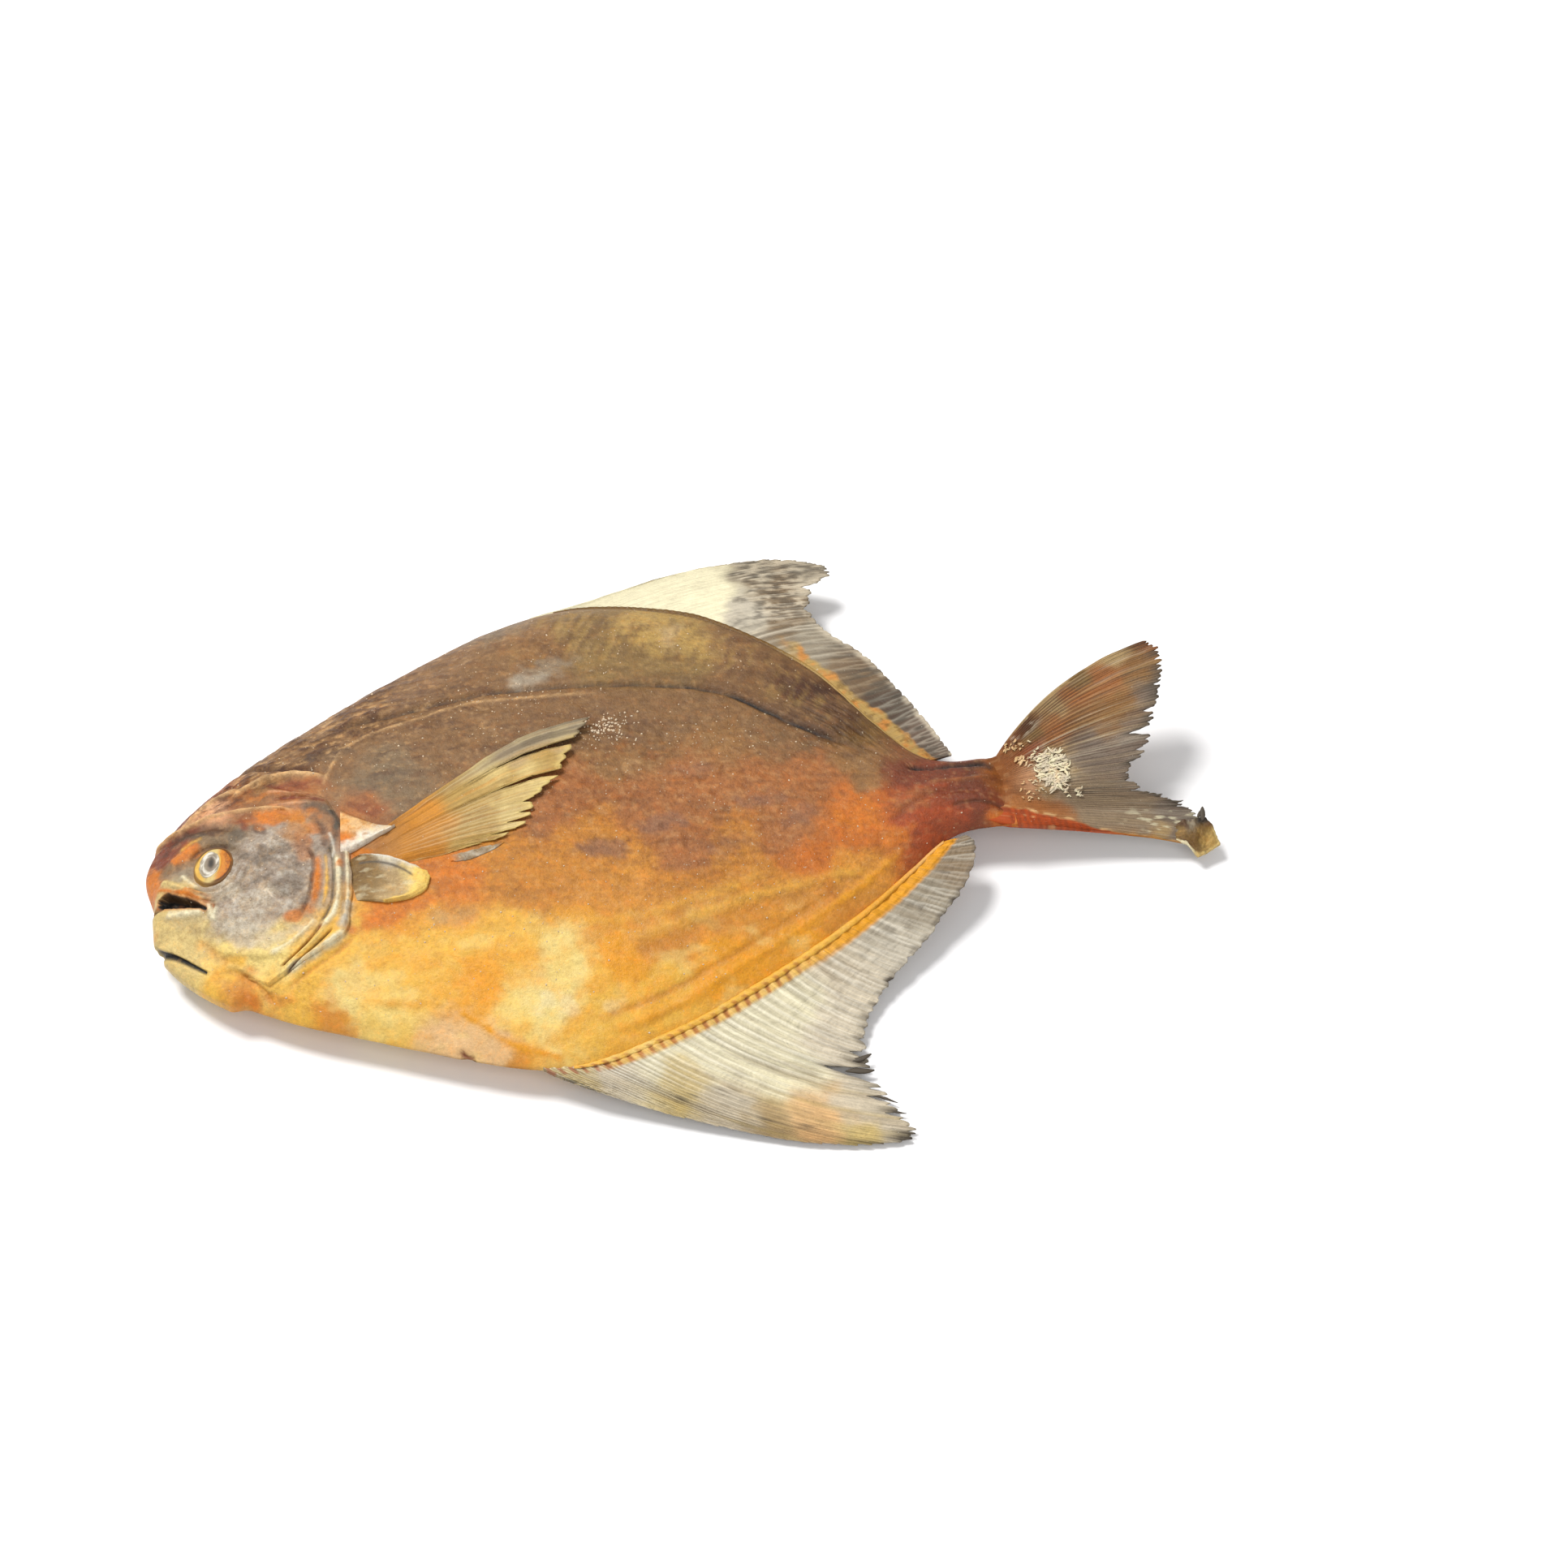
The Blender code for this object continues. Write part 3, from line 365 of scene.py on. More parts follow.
# Stains, and patches of painted shade: (colour, x, y, half length, half width, turn in degrees, strength)
STAINS_AND_SHADE = (
    ("flame", 12, 1.6, 4.4, 2.8, 30, 0.9), ("brick", 9.5, 5.4, 4, 1.8, 35, 0.6),
    ("flame", 47.6, 2, 2.6, 4, 10, 0.6), ("flame", 2.4, -3.2, 2.6, 3.2, 20, 0.9),
    ("brick", 7, 3.4, 4.5, 2.8, 40, 0.85), ("bark", 10, 8, 4, 1.4, 40, 0.8),
    ("red_brown", 4.4, -12.4, 1.8, 1.4, 0, 0.8), ("straw", 12, -8, 5, 1.6, -35, 0.6),
    ("pink", 14, 15, 5, 1.6, 45, 0.5), ("slate", 15, 8.4, 5, 1.5, -8, 0.8),
    ("bark", 20, 7.4, 4.5, 1.9, -20, 0.75), ("slate", 26.5, 4.5, 3.6, 3.2, -30, 0.6),
    ("brick", 28.5, 9, 4.2, 2.6, -35, 0.85), ("bark", 32.5, 4.6, 3.2, 1.7, -55, 0.7),
    ("ash", 10, -4.5, 4, 2.2, -10, 0.7), ("dusk", 6.6, -2, 3, 2, 30, 0.7),
    ("bone", 24, -13, 5, 3, -30, 0.5), ("bone", 31, -19, 8, 4, 20, 0.4),
    ("flame", 38, 8.4, 9, 3.4, -4, 0.9), ("orange", 43, 4, 5, 5, 10, 0.55),
    ("rust", 45, -3, 2.6, 6, 12, 0.6), ("flame", 42, -24.4, 3.8, 1.8, 22, 0.8),
    ("bone", 37, -29.4, 8, 1.8, 10, 0.5), ("pale_grey", 27, -24, 8, 2.6, -10, 0.55),
    ("ash", 12, -19, 5, 2.5, -40, 0.35), ("slate", 35, -5, 5, 3, 30, 0.45),
    ("slate", 40, -14, 4, 5, 20, 0.4), ("brick", 42, 20, 8, 2.2, -5, 0.75),
    ("flame", 36, 18.4, 6, 1.6, 5, 0.6), ("flame", 28.5, -43, 4, 1.5, -40, 0.8),
    ("honey", 23, -39, 5, 1.6, -42, 0.5), ("flame", 36, -45, 5, 1.4, -20, 0.5),
    ("ash", 114, 53, 8, 4.5, 25, 0.6), ("pale_grey", 110, 50, 6, 2.6, 10, 0.4),
    ("flame", 62, -30, 8, 2.4, 14, 0.9), ("flame", 76, -25, 6, 2.4, 20, 0.9),
    ("amber", 68, -33, 8, 3, 5, 0.6), ("brick", 64, 7, 6, 2.4, -30, 0.6),
    ("flame", 60, -8, 4.5, 1.8, 8, 0.9), ("lemon", 109, -55, 10, 6, 50, 0.5),
    ("yellow", 112, -47, 3, 5.5, -10, 0.5), ("cream", 106, -57, 3.4, 2.4, 30, 0.3),
    ("cream", 112, -59, 2.4, 3.4, 0, 0.3), ("cream", 124, -59, 3, 1.8, 20, 0.25),
    ("amber", 88, -46, 5.5, 3.6, -50, 0.8), ("amber", 91, -52, 3.4, 2.2, 20, 0.7),
    ("amber", 115, -33, 6, 2.4, 5, 0.6), ("amber", 100, -44, 6, 2.4, 0, 0.4),
    ("orange", 140, -42, 11, 2.4, 12, 0.7), ("orange", 135, -33, 8, 2.4, 0, 0.4),
    ("tan", 84, -31, 7, 3, 0, 0.35), ("peach", 78, -61, 5, 1.7, -20, 0.7),
    ("peach", 90, -66.4, 5, 1.8, -25, 0.7), ("lemon", 57, -46, 7, 4, 0, 0.5),
    ("lemon", 65, -54, 6, 2.4, -20, 0.45), ("mauve", 126, -13.5, 7, 3, -4, 0.75),
    ("mauve", 143, -5.5, 7, 3, 8, 0.75), ("mauve", 169, 0.4, 7, 2.6, 8, 0.65),
    ("mauve", 180, -5.5, 5, 2.6, 20, 0.6), ("mauve", 160, -14, 7, 3, 10, 0.5),
    ("mauve", 152, 12, 6, 2.4, 0, 0.4), ("flame", 196, -7, 8, 4.5, 20, 0.8),
    ("flame", 205, -14, 7, 2.4, 30, 0.7), ("rust", 212, -3, 6, 3.2, 30, 0.5),
    # painted shade: the bark patches at x 228 along the crease and at x 230 across the tail root
    ("copper", 222, -9, 5, 2.4, 10, 0.6), ("bark", 228, 8.4, 8, 2.2, 0, 0.8),
    ("bark", 230, 2, 3.2, 5, 10, 0.4), ("bark", 197, 30, 8, 5, -55, 0.5),
    ("bark", 184, 44, 8, 4.5, -50, 0.5), ("brick", 214, 4, 5, 2.4, 30, 0.5),
    ("slate", 64, 16, 8, 4, 20, 0.3), ("slate", 52, 30, 7, 3, 0, 0.3),
    ("honey", 122, -39, 6, 2.4, 10, 0.5), ("mauve", 106, 6, 5, 3, 20, 0.4),
)

# Lines pressed into the skin or standing proud: (knots, half width, height, colour, strength)
# Where a pressed-in line is dark, its colour is painted shade in the crease as well as the skin's own mark.
SKIN_LINES = (
    # brow, lips and jaw
    (((2.4, 7.4), (5, 10.4), (11.7, 11.6), (20, 13.6), (32.8, 12.8), (44, 9.4)), 0.7, 1.0, "peach", 0.75),
    (((6, 7), (10, 9.2), (16, 10), (21, 9.2), (27, 6)), 1.1, -0.6, "bark", 0.5),
    (((8, 0), (12, 1.8), (16.5, 4.6)), 1.7, 0.5, "flame", 0.85),
    (((10.5, 3.6), (14, 5.4), (17, 6.6)), 0.6, 0.2, "gold", 0.5),
    (((5, -4.8), (8, -6.9), (10.8, -8.8), (14.4, -11.4), (18.4, -14)), 0.9, 0.9, "straw", 0.9),
    (((3.6, -6.8), (6.4, -8.2), (9.8, -10), (13.4, -12.1), (17, -14.8)), 0.55, 0.3, "flame", 0.9),
    (((6.6, -16), (9.6, -16.9), (13, -17.5), (17.4, -18.2)), 1.0, 0.8, "cream", 0.7),
    (((16.6, -14.4), (19.6, -16.4), (19.2, -19.6)), 0.5, -0.8, "red_brown", 0.9),
    (((18.6, -14.6), (20.6, -17)), 0.8, 0.7, "cream", 0.8),
    (((21, -15.6), (21.4, -18.4)), 0.6, 0.2, "flame", 0.6),
    (((2.6, -15), (3.6, -18), (5.4, -21)), 0.8, 0.0, "honey", 0.5),
    (((14, -25), (20, -30.5), (25, -35.6), (30.5, -41)), 1.3, -0.5, "honey", 0.45),
    (((21, -29.5), (27.5, -32), (34, -33.8), (42, -34.1)), 1.0, 0.6, "lemon", 0.6),
    (((26, -37), (31.3, -41), (34.5, -45.6)), 0.6, -0.7, "orange", 0.7),
    (((22, -33.5), (28, -36.8), (33, -41.5)), 0.8, 0.45, "lemon", 0.4),
    (((12, -21), (18, -24.5), (25, -27.5), (33, -28.6)), 1.2, -0.3, "olive", 0.3),
    # round the eye
    (((14, -9.6), (17, -11.6), (21.5, -12), (26, -9.6), (28, -5)), 0.45, -0.6, "dusk", 0.6),
    (((14.4, -11.8), (18.6, -13.8), (23.4, -14), (28.2, -11.2), (30.4, -5)), 0.45, -0.5, "ash", 0.5),
    (((15.4, -14.2), (21, -16), (26, -15.4), (31, -11.6), (33, -5)), 0.4, -0.4, "ash", 0.45),
    (((13.6, -1), (15.6, 1.8), (20, 3), (24.6, 1)), 0.45, -0.6, "bark", 0.85),
    (((11, -5), (13.6, -8), (15.6, -10)), 0.5, 0.3, "cream", 0.6),
    # nape and the edge of the head
    (((14, 26.8), (20, 31), (27, 32.4), (34, 29.4), (40, 27.6), (46, 25.6), (52, 21)),
     0.7, -0.9, "bark", 0.8),
    (((23.6, 19), (30.3, 24), (37.2, 25.4), (46.4, 23.8), (51.5, 20)), 0.8, 0.8, "peach", 0.7),
    (((8, 10), (14.3, 16.4), (19.2, 20.8), (28, 23.4)), 0.8, 0.8, "peach", 0.65),
    (((7, 12.5), (12, 20), (18, 26), (26, 29)), 2.2, -0.3, "brick", 0.7),
    (((33, 22.6), (39, 20), (44, 16.4), (49, 13.4)), 0.5, -0.4, "brick", 0.8),
    (((34, 19.6), (40, 18), (46, 14.6)), 0.5, 0.4, "pink", 0.6),
    (((36, 15.6), (43, 14.6), (48, 13.2), (51.5, 11)), 0.6, -0.5, "brick", 0.8),
    (((35, 13.4), (42, 12.6), (47, 11.8)), 0.5, 0.3, "pink", 0.6),
    # cheek and gill cover
    (((43, 11), (48.6, 10.2), (52.6, 7.4), (54.2, 2.4), (53.2, -3.6), (51, -8.6)),
     1.3, -0.2, "slate", 0.9),
    (((46, 7), (49.4, 3.6), (50.6, -1), (50.4, -6)), 1.0, -0.3, "bark", 0.6),
    (((45.6, -4), (47.4, -8.6), (46.8, -14.5), (45.8, -19.6), (42.6, -26)), 0.5, -0.6, "bark", 0.75),
    (((48.4, -7), (48.6, -13), (47.8, -18.6), (46.6, -23)), 1.1, 0.4, "flame", 0.9),
    (((50.6, -7), (51, -12.6), (50.6, -18.6), (49.2, -23.6)), 0.5, 0.3, "gold", 0.8),
    (((52, -4), (52.8, -10), (52.6, -17), (51.4, -23.6), (47.6, -28.6)), 0.35, -0.7, "slate", 0.8),
    (((53.4, -7), (54, -14), (53.6, -21), (51.8, -26.4), (47, -29.6)), 0.8, 0.6, "cream", 0.85),
    (((55, -1), (55.6, -8), (55.4, -16), (55, -23), (53.6, -29)), 0.5, -0.3, "slate", 0.5),
    (((56.2, -4), (56.6, -12), (56.4, -20), (55.6, -28)), 0.55, 0.3, "cream", 0.8),
    (((54, -10.4), (54.4, -12.6)), 1.0, 0.1, "flame", 0.7),
    (((56.4, -22), (55.4, -27), (53, -30.4)), 1.3, 0.3, "pale_grey", 0.9),
    (((51.8, 0), (53, -5), (52.6, -9)), 0.5, 0.2, "salt", 0.7),
    (((56, -30.5), (50.4, -34), (44.8, -36.8), (38.1, -39.6)), 0.9, 0.7, "cream", 0.8),
    (((49.7, -27.4), (46.9, -30.4), (43.9, -33.2), (40.5, -35.9), (37, -37.8)),
     0.36, -1.1, "red_brown", 0.95),
    (((52.2, -29.4), (49, -32.4), (45.6, -35), (42, -37.4), (38, -40)), 0.3, -1.1, "bark", 0.9),
    (((47.6, -26.4), (44.6, -29), (40, -31.8), (34, -33.6)), 0.8, 0.7, "cream", 0.7),
    (((50.4, -29), (46.8, -32.4), (42.6, -35.4), (38, -38.4)), 0.6, 0.6, "lemon", 0.7),
    (((58, -32), (52, -36.4), (45, -40), (38, -43.6)), 0.6, -0.5, "orange", 0.6),
    # flank and belly
    (((66, -3.6), (70.5, 0.4), (77, 4.6), (86, 10.4)), 0.7, -0.5, "bark", 0.6),
    (((82, -55), (86, -58), (90, -61), (95, -65.4), (104, -69.4), (111, -71)), 0.9, 0.3, "amber", 0.9),
    (((83, -65.6), (84.4, -67.4), (86.6, -68)), 0.6, -0.6, "brick", 0.7),
    (((60, -49.6), (70, -52.4), (80, -53.6)), 1.2, 0.2, "amber", 0.5),
    (((118, -66.6), (138, -60.6), (156.4, -50.6), (175.3, -39.5), (196, -26), (208, -16)),
     1.1, 0.4, "amber", 0.75),
    (((116, -63), (136, -57), (154, -48), (172, -37.6), (190, -27)), 0.9, -0.3, "orange", 0.6),
    (((127, -42), (145.7, -36), (165, -30), (181, -26), (199, -22)), 1.8, 0.3, "gold", 0.45),
    (((128, -46), (146, -40), (166, -33), (184, -28)), 2.2, -0.25, "orange", 0.5),
    (((112, -34), (130, -35), (150, -30), (170, -22)), 1.8, 0.3, "gold", 0.35),
    (((205, -10), (214, -3), (224, -1), (232, -2)), 1.0, -0.5, "brick", 0.5),
    (((211, 9.4), (218, 8.6), (226, 8.6), (236, 9.6)), 0.8, -1.0, "soot", 0.75),
    (((216, 2.4), (225, 2.6), (236, 3.4)), 0.7, 0.5, "rust", 0.4),
    (((222, -6), (230, -5), (238, -7)), 0.6, -0.4, "bark", 0.5),
)
MOUTH_LINE = ((4.9, -10.6), (6.6, -11.5), (9.2, -12.8), (12.2, -14.2), (15, -15.6), (18, -17.6))
MOUTH_SLOPE = 0.534
MOUTH_HALF = 2.1
MOUTH_DEPTH = 3.6
MOUTH_SHARE_OF_FLESH = 0.75
JAW_NOTCH = ((0.8, -14.2), (3, -13.8), (6, -13.4))
CHIN_SLIT = ((4.0, -21.6), (6.4, -24.6), (9.5, -27.3), (13.7, -30.9), (17.6, -34.0))
CHIN_SLIT_DEPTH = 2.0
CHIN_LIP = ((2.6, -15), (4.6, -22), (9.4, -29.5), (16, -36), (24, -42))
CHIN_LIP_PROUD = 2.4
# Wrinkled places: (x, y, reach x, reach y, run, gap, turn, depth)
WRINKLES = (
    (128, 29, 20, 10, 9, 2.6, -16, 0.65), (152, 22, 20, 12, 8, 2.6, -6, 0.5),
    (120, 12, 14, 12, 5, 2.4, 10, 0.5), (62, 28, 14, 12, 12, 2.2, -4, 0.35),
    (84, 34, 14, 6, 12, 2.0, 6, 0.25), (192, 28, 12, 12, 10, 2.0, -40, 0.6),
    (206, 14, 9, 8, 9, 1.8, -48, 0.5), (146, -2, 26, 14, 5, 2.4, 20, 0.25),
    (24, 25, 12, 5, 9, 1.4, 38, 0.4), (100, -6, 10, 8, 5, 2.0, 0, 0.3),
    (64, -32, 16, 8, 9, 2.4, 10, 0.15),
)


def skin_strokes(x, y, height, colour):
    """Adds the stains, the painted shade and the lines to the skin's height and colour.

    A stain's edge is the ellipse where the distance, wandering by noise, is 1. A line's height and colour
    fall off from it as exp(-(distance / half width)^2), and thin out at both its ends.
    """
    wander = noise(x, y, 3.2, 5)
    for k, (name, stain_x, stain_y, length, width, turn, strength) in enumerate(STAINS_AND_SHADE):
        c, s = math.cos(math.radians(turn)), math.sin(math.radians(turn))
        dx, dy = x - stain_x, y - stain_y
        away = np.hypot((dx * c + dy * s) / length, (dy * c - dx * s) / width)
        share = strength * step(away + 0.45 * wander + 0.15 * np.sin(9 * k + x + y), 1.35, 0.45)
        lay(colour, name, share)
    breaks = noise(x, y, 2.4, 8)
    for knots, width, rise, name, strength in SKIN_LINES:
        away, along, _ = near_line(x, y, knots, 3.2 * width)
        ends = step(along, 0, 0.12) * step(1 - along, 0, 0.12)
        fall = np.exp(-((away / (width * (1 + 0.25 * breaks))) ** 2)) * ends
        height = height + rise * fall
        lay(colour, name, strength * (1 + 0.4 * breaks) * fall)
    return height, colour


def skin_openings(x, y, height, colour):
    """Presses the open mouth, the jaw's notch and the chin's slit into the skin, painted dark inside as
    shade.

    The lip along the chin swells by exp(-(distance / 3)^2). The mouth is cut no deeper than 0.75 of the
    flesh above the keel, so its two sides meet in front.
    """
    away, _, _ = near_line(x, y, CHIN_LIP, 8.0)
    height = height + CHIN_LIP_PROUD * np.exp(-((away / 3.0) ** 2)) * step(x, 1.5, 5)
    away, along, _ = near_line(x, y, MOUTH_LINE, 7.0)
    opening = MOUTH_HALF * (1 - along) ** 0.8 * np.sqrt(np.clip(along / 0.16, 0, 1))
    half = opening + 0.1 + 0.15 * noise(x, y, 1.5, 24)
    inside = step(away, half + 0.25, half - 0.55)
    room = skin_top(x, y) - profile(KEEL, x)
    depth = np.minimum(MOUTH_DEPTH, MOUTH_SHARE_OF_FLESH * room) * (0.3 + 0.7 * step(1 - along, 0, 0.5))
    height = height * (1 - inside) - depth * inside
    tongue = 0.5 * step(noise(2 * x, 2 * y, 3, 25), 0.1, 0.8)
    lay(colour, "ember", 0.6 * step(away, half + 1.1, half + 0.3) * (1 - inside))
    # painted shade: the whole inside of the mouth is laid soot-black
    lay(colour, "soot", step(away, half + 0.5, half + 0.05))
    lay(colour, "red_brown", tongue * step(away, half - 0.6, half - 1.6))
    above = y - MOUTH_LINE[0][1] + MOUTH_SLOPE * (x - MOUTH_LINE[0][0])
    palate = step(above, 0.4, 1.3) * step(away, half + 0.4, half) * step(away, half - 1.4, half - 0.4)
    lay(colour, "umber", 0.4 * palate)
    away, along, _ = near_line(x, y, JAW_NOTCH, 3.0)
    notch = step(away, 0.8, 0.1) * (1 - 0.4 * along)
    height = height - 1.2 * notch
    # painted shade: soot in the jaw's notch
    lay(colour, "soot", 0.9 * notch)
    away, along, _ = near_line(x, y, CHIN_SLIT, 3.0)
    half = 0.5 * (1 - 0.6 * along)
    inside = step(away, half + 0.4, half - 0.3)
    height = height - CHIN_SLIT_DEPTH * inside * (1 - 0.6 * along)
    # painted shade: soot in the chin's slit
    lay(colour, "soot", step(away, half + 0.3, half - 0.1))
    return height, colour


def creases(x, y, run, gap, turn, seed):
    """Narrow wandering creases, 1 along each: exp(-(hills / 0.3)^2), for noise drawn out one way.

    Run is how long a crease goes on, gap the distance between two, and turn their direction in degrees.
    """
    c, s = math.cos(math.radians(turn)), math.sin(math.radians(turn))
    hills = noise((x * c + y * s) / run, (y * c - x * s) / gap, 1.0, seed, 2)
    return np.exp(-((hills / 0.3) ** 2))


def skin(x, y):
    """The dried skin at places x, y: relief in millimetres, colour, and the four marks."""
    x, y = np.asarray(x, float), np.asarray(y, float)
    back, belly = profile(BACK, x), profile(BELLY, x)
    drift_x = x + WASH_WANDER * noise(x, y, 14, 1) + 1.6 * noise(x, y, 3, 26, 2)
    drift_y = y + WASH_WANDER * noise(x, y, 11, 2) + 1.6 * noise(x, y, 3, 27, 2)
    colour = washed(drift_x, drift_y, SKIN_WASHES)
    head = step(58 - x + 0.25 * y, -3, 3)
    flank = 1 - head

    height = 0.5 * noise(x, y, 17, 3) + 0.16 * noise(x, y, 4, 4)
    # the back swells between its edge and the crease, which has a step and a hollow with painted shadow
    inward = back - y
    height += 0.9 * np.exp(-(((inward - 15) / 9) ** 2)) * step(x, 70, 110) * step(200 - x, 0, 30)
    away, along, side = near_line(x, y, CREASE_LINE, 22.0)
    signed = away * side
    ends = step(along, 0, 0.08) * step(1 - along, 0, 0.1)
    height += 0.9 * ends * step(signed, -0.3, 1.2) * np.exp(-((np.maximum(signed, 0) / 10) ** 2))
    # painted shadow: soot in the hollow just under the crease, where the fold above shades it
    hollow = ends * np.exp(-(((signed + 0.3) / (0.5 + 0.3 * step(along, 0.6, 0.8))) ** 2))
    height -= 0.5 * hollow
    lay(colour, "soot", hollow * (0.7 + 0.2 * step(along, 0.5, 0.75) + 0.3 * noise(x, y, 5, 28)))
    # painted shade: bark over the swollen side just above the crease
    shade = ends * step(signed, 6, 0) * step(signed, 0, 0.4) * step(along, 0.45, 0.7)
    lay(colour, "bark", 0.4 * shade)
    # a row of pale beads marks the lateral line
    away, along, _ = near_line(x, y, LATERAL_LINE, 3.0)
    beads = np.exp(-((away / 0.45) ** 2)) * (0.5 + 0.5 * step(noise(2 * x, 2 * y, 3, 29, 1), -0.2, 0.4))
    height += 0.3 * beads
    lay(colour, "peach", 0.7 * beads * step(1 - along, 0, 0.2))

    # wrinkles with painted shade in their folds, and dimples over the middle of the flank
    for place_x, place_y, reach_x, reach_y, run, gap, turn, depth in WRINKLES:
        window = round_spot(x, y, place_x, place_y, reach_x, reach_y)
        window = window * (0.6 + 0.6 * noise(x, y, 9, 31))
        folds = creases(x, y, run, gap, turn, 32)
        height -= depth * window * folds
        # painted shade: bark in the folds, as strong as they are deep
        lay(colour, "bark", 0.9 * depth * window * folds)
    middle = flank * round_spot(x, y, 140, 4, 50, 24)
    dimples = step(noise(x, y, 2.2, 33, 2), 0.25, 0.9)
    height -= 0.3 * middle * dimples
    lay(colour, "red_brown", 0.65 * middle * dimples)
    lay(colour, "peach", 0.22 * middle * step(-noise(x, y, 1.9, 34, 2), 0.3, 0.9))
    # dark strands and pale flecks over the nape and the upper flank
    nape = flank * step(y - 0.12 * x, 4, 14) * step(118 - x, 0, 30)
    strands = noise(x + 0.5 * y, 3.5 * y, 5, 38)
    lay(colour, "bark", 0.5 * nape * step(strands, 0.1, 0.6))
    lay(colour, "peach", 0.3 * nape * step(noise(x, 1.6 * y, 1.6, 39), 0.4, 0.9))
    height += 0.12 * nape * strands
    # long fibres over the whole flank
    fibres = noise(x + 0.3 * y, 6 * y, 11, 10, 2)
    height += 0.08 * fibres * flank
    lay(colour, "bark", 0.25 * flank * step(fibres, 0.1, 0.8) * step(y, -50, -10))
    # clouds of orange and yellow under the belly skin
    belly_side = flank * step(-y, 26, 40)
    clouds = noise(0.6 * x, y, 5, 35)
    lay(colour, "amber", 0.45 * belly_side * step(clouds, 0.1, 0.7))
    lay(colour, "lemon", 0.4 * belly_side * step(-clouds, 0.15, 0.75))
    height += 0.15 * belly_side * clouds
    # the cheek is mottled grey and white, the forehead dark and pale
    cheek = np.exp(-(((x - 34) / 15) ** 4) - ((y + 11) / 14) ** 4)
    mottle = noise(x + 0.5 * y, 1.4 * y, 2.6, 12, 4)
    lay(colour, "salt", 0.42 * cheek * step(mottle, 0.0, 0.8))
    lay(colour, "slate", 0.6 * cheek * step(-mottle, 0.0, 0.8))
    lay(colour, "lilac", 0.5 * cheek * step(noise(x, y, 4, 13), 0.1, 0.6))
    height += 0.2 * cheek * mottle
    forehead = head * step(y - 0.45 * x, 2, 8)
    patchy = noise(x - 0.6 * y, 1.8 * y, 2.4, 14)
    lay(colour, "bark", 0.75 * forehead * step(patchy, 0.0, 0.5))
    lay(colour, "peach", 0.45 * forehead * step(-patchy, 0.3, 0.8))
    height += 0.3 * forehead * patchy
    snout = round_spot(x, y, 5, 2, 6, 7)
    lay(colour, "bark", 0.6 * snout * step(noise(x, y, 2.0, 15), 0.1, 0.6))
    height += 0.3 * snout * noise(x, y, 2.0, 15)
    height *= 0.25 + 0.75 * step(np.minimum(inward, y - belly), 0, 6)

    # golden band with upright streaks, a toothed painted shadow where the back fin's rays start, and dark
    # teeth further in
    band = step(inward, 3, 8) * step(34 - inward, 0, 12) * step(x, 96, 120) * step(206 - x, 0, 16)
    streaks = noise(5 * (x + 0.35 * inward), inward, 7, 16, 2)
    lay(colour, "bark", 0.4 * band * step(streaks, 0.0, 0.7))
    lay(colour, "moss", 0.35 * band * step(-streaks, 0.1, 0.7))
    height += 0.12 * band * streaks
    teeth = np.abs(np.sin(math.pi * (x + 0.6 * inward + 0.5 * noise(x, y, 4, 36)) / 1.9))
    # painted shadow: bark along the edge where the back fin stands off the skin, broken into teeth
    fin_foot_shadow = step(inward, 2.6, 0.3) * step(x, 112, 124) * step(222 - x, 0, 8)
    lay(colour, "bark", fin_foot_shadow * (0.5 + 0.4 * step(0.7 - teeth, 0, 0.5)))
    inner_line = step(inward, 5.5, 1.5) * step(x, 112, 124) * step(200 - x, 0, 8)
    lay(colour, "bark", 0.5 * inner_line * step(0.5 - teeth, 0, 0.4))
    # darker streaks over the rear of the back: creases pressed in, with painted shade in them
    rear = round_spot(x, y, 194, 30, 15, 17)
    lines = creases(x, y, 9, 1.6, -42, 17)
    lay(colour, "soot", 0.5 * rear * lines)
    height -= 0.3 * rear * lines

    # a swelling under the cheek and the gill cover, and a hollow round the eye
    height += 0.9 * round_spot(x, y, 36, -10, 13, 15)
    from_eye = np.hypot((x - EYE_PLACE[0]) / EYE_STRETCH[0], (y - EYE_PLACE[1]) / EYE_STRETCH[1])
    height -= 0.9 * np.exp(-(((from_eye - 6.2) / 1.4) ** 2))
    height -= 1.3 * step(5.6 - from_eye, 0, 1.0)
    height, colour = skin_strokes(x, y, height, colour)
    height, colour = skin_openings(x, y, height, colour)

    # fine freckles
    freckle = noise(x, y, 1.3, 18, 2)
    lay(colour, "bark", 0.2 * step(freckle, 0.3, 0.95) * (1 - 0.7 * belly_side))
    lay(colour, "peach", 0.14 * step(-freckle, 0.35, 1.0))

    dust = 0.2 + 0.5 * round_spot(x, y, 133, 28, 12, 8) + 0.3 * step(y, 0, 50)
    dust = dust * (0.3 + 0.7 * step(noise(x, y, 10, 19), -0.4, 0.6)) * step(y - belly, 0, 30)
    fibre = flank * (0.35 + 0.65 * step(noise(x, y, 15, 20), -0.6, 0.6)) * (1 - 0.6 * belly_side)
    gloss = step(-y + 0.1 * x, 20, 60) * (0.5 + 0.5 * noise(x, y, 8, 21))
    rough = 0.35 + 0.65 * np.maximum(cheek, forehead) + 0.3 * middle - 0.15 * belly_side
    return height, colour, (dust, fibre, gloss, rough)


# ---------------------------------------------------------------- meshes from arrays

# What a piece's points carry beside their colour, each from 0 to 1, and in this order
MARKS = ("dust", "fibre", "gloss", "rough")
NO_MARKS = (0.0, 0.0, 0.0, 0.0)


def outward(points, faces):
    """The faces turned so that the shape's volume, the sum of a . (b x c) over its fans, is positive."""
    volume = 0.0
    for group in faces:
        corners = points[group]
        for k in range(1, group.shape[1] - 1):
            volume += np.einsum("ij,ij->", corners[:, 0], np.cross(corners[:, k], corners[:, k + 1]))
    return faces if volume > 0 else [group[:, ::-1] for group in faces]


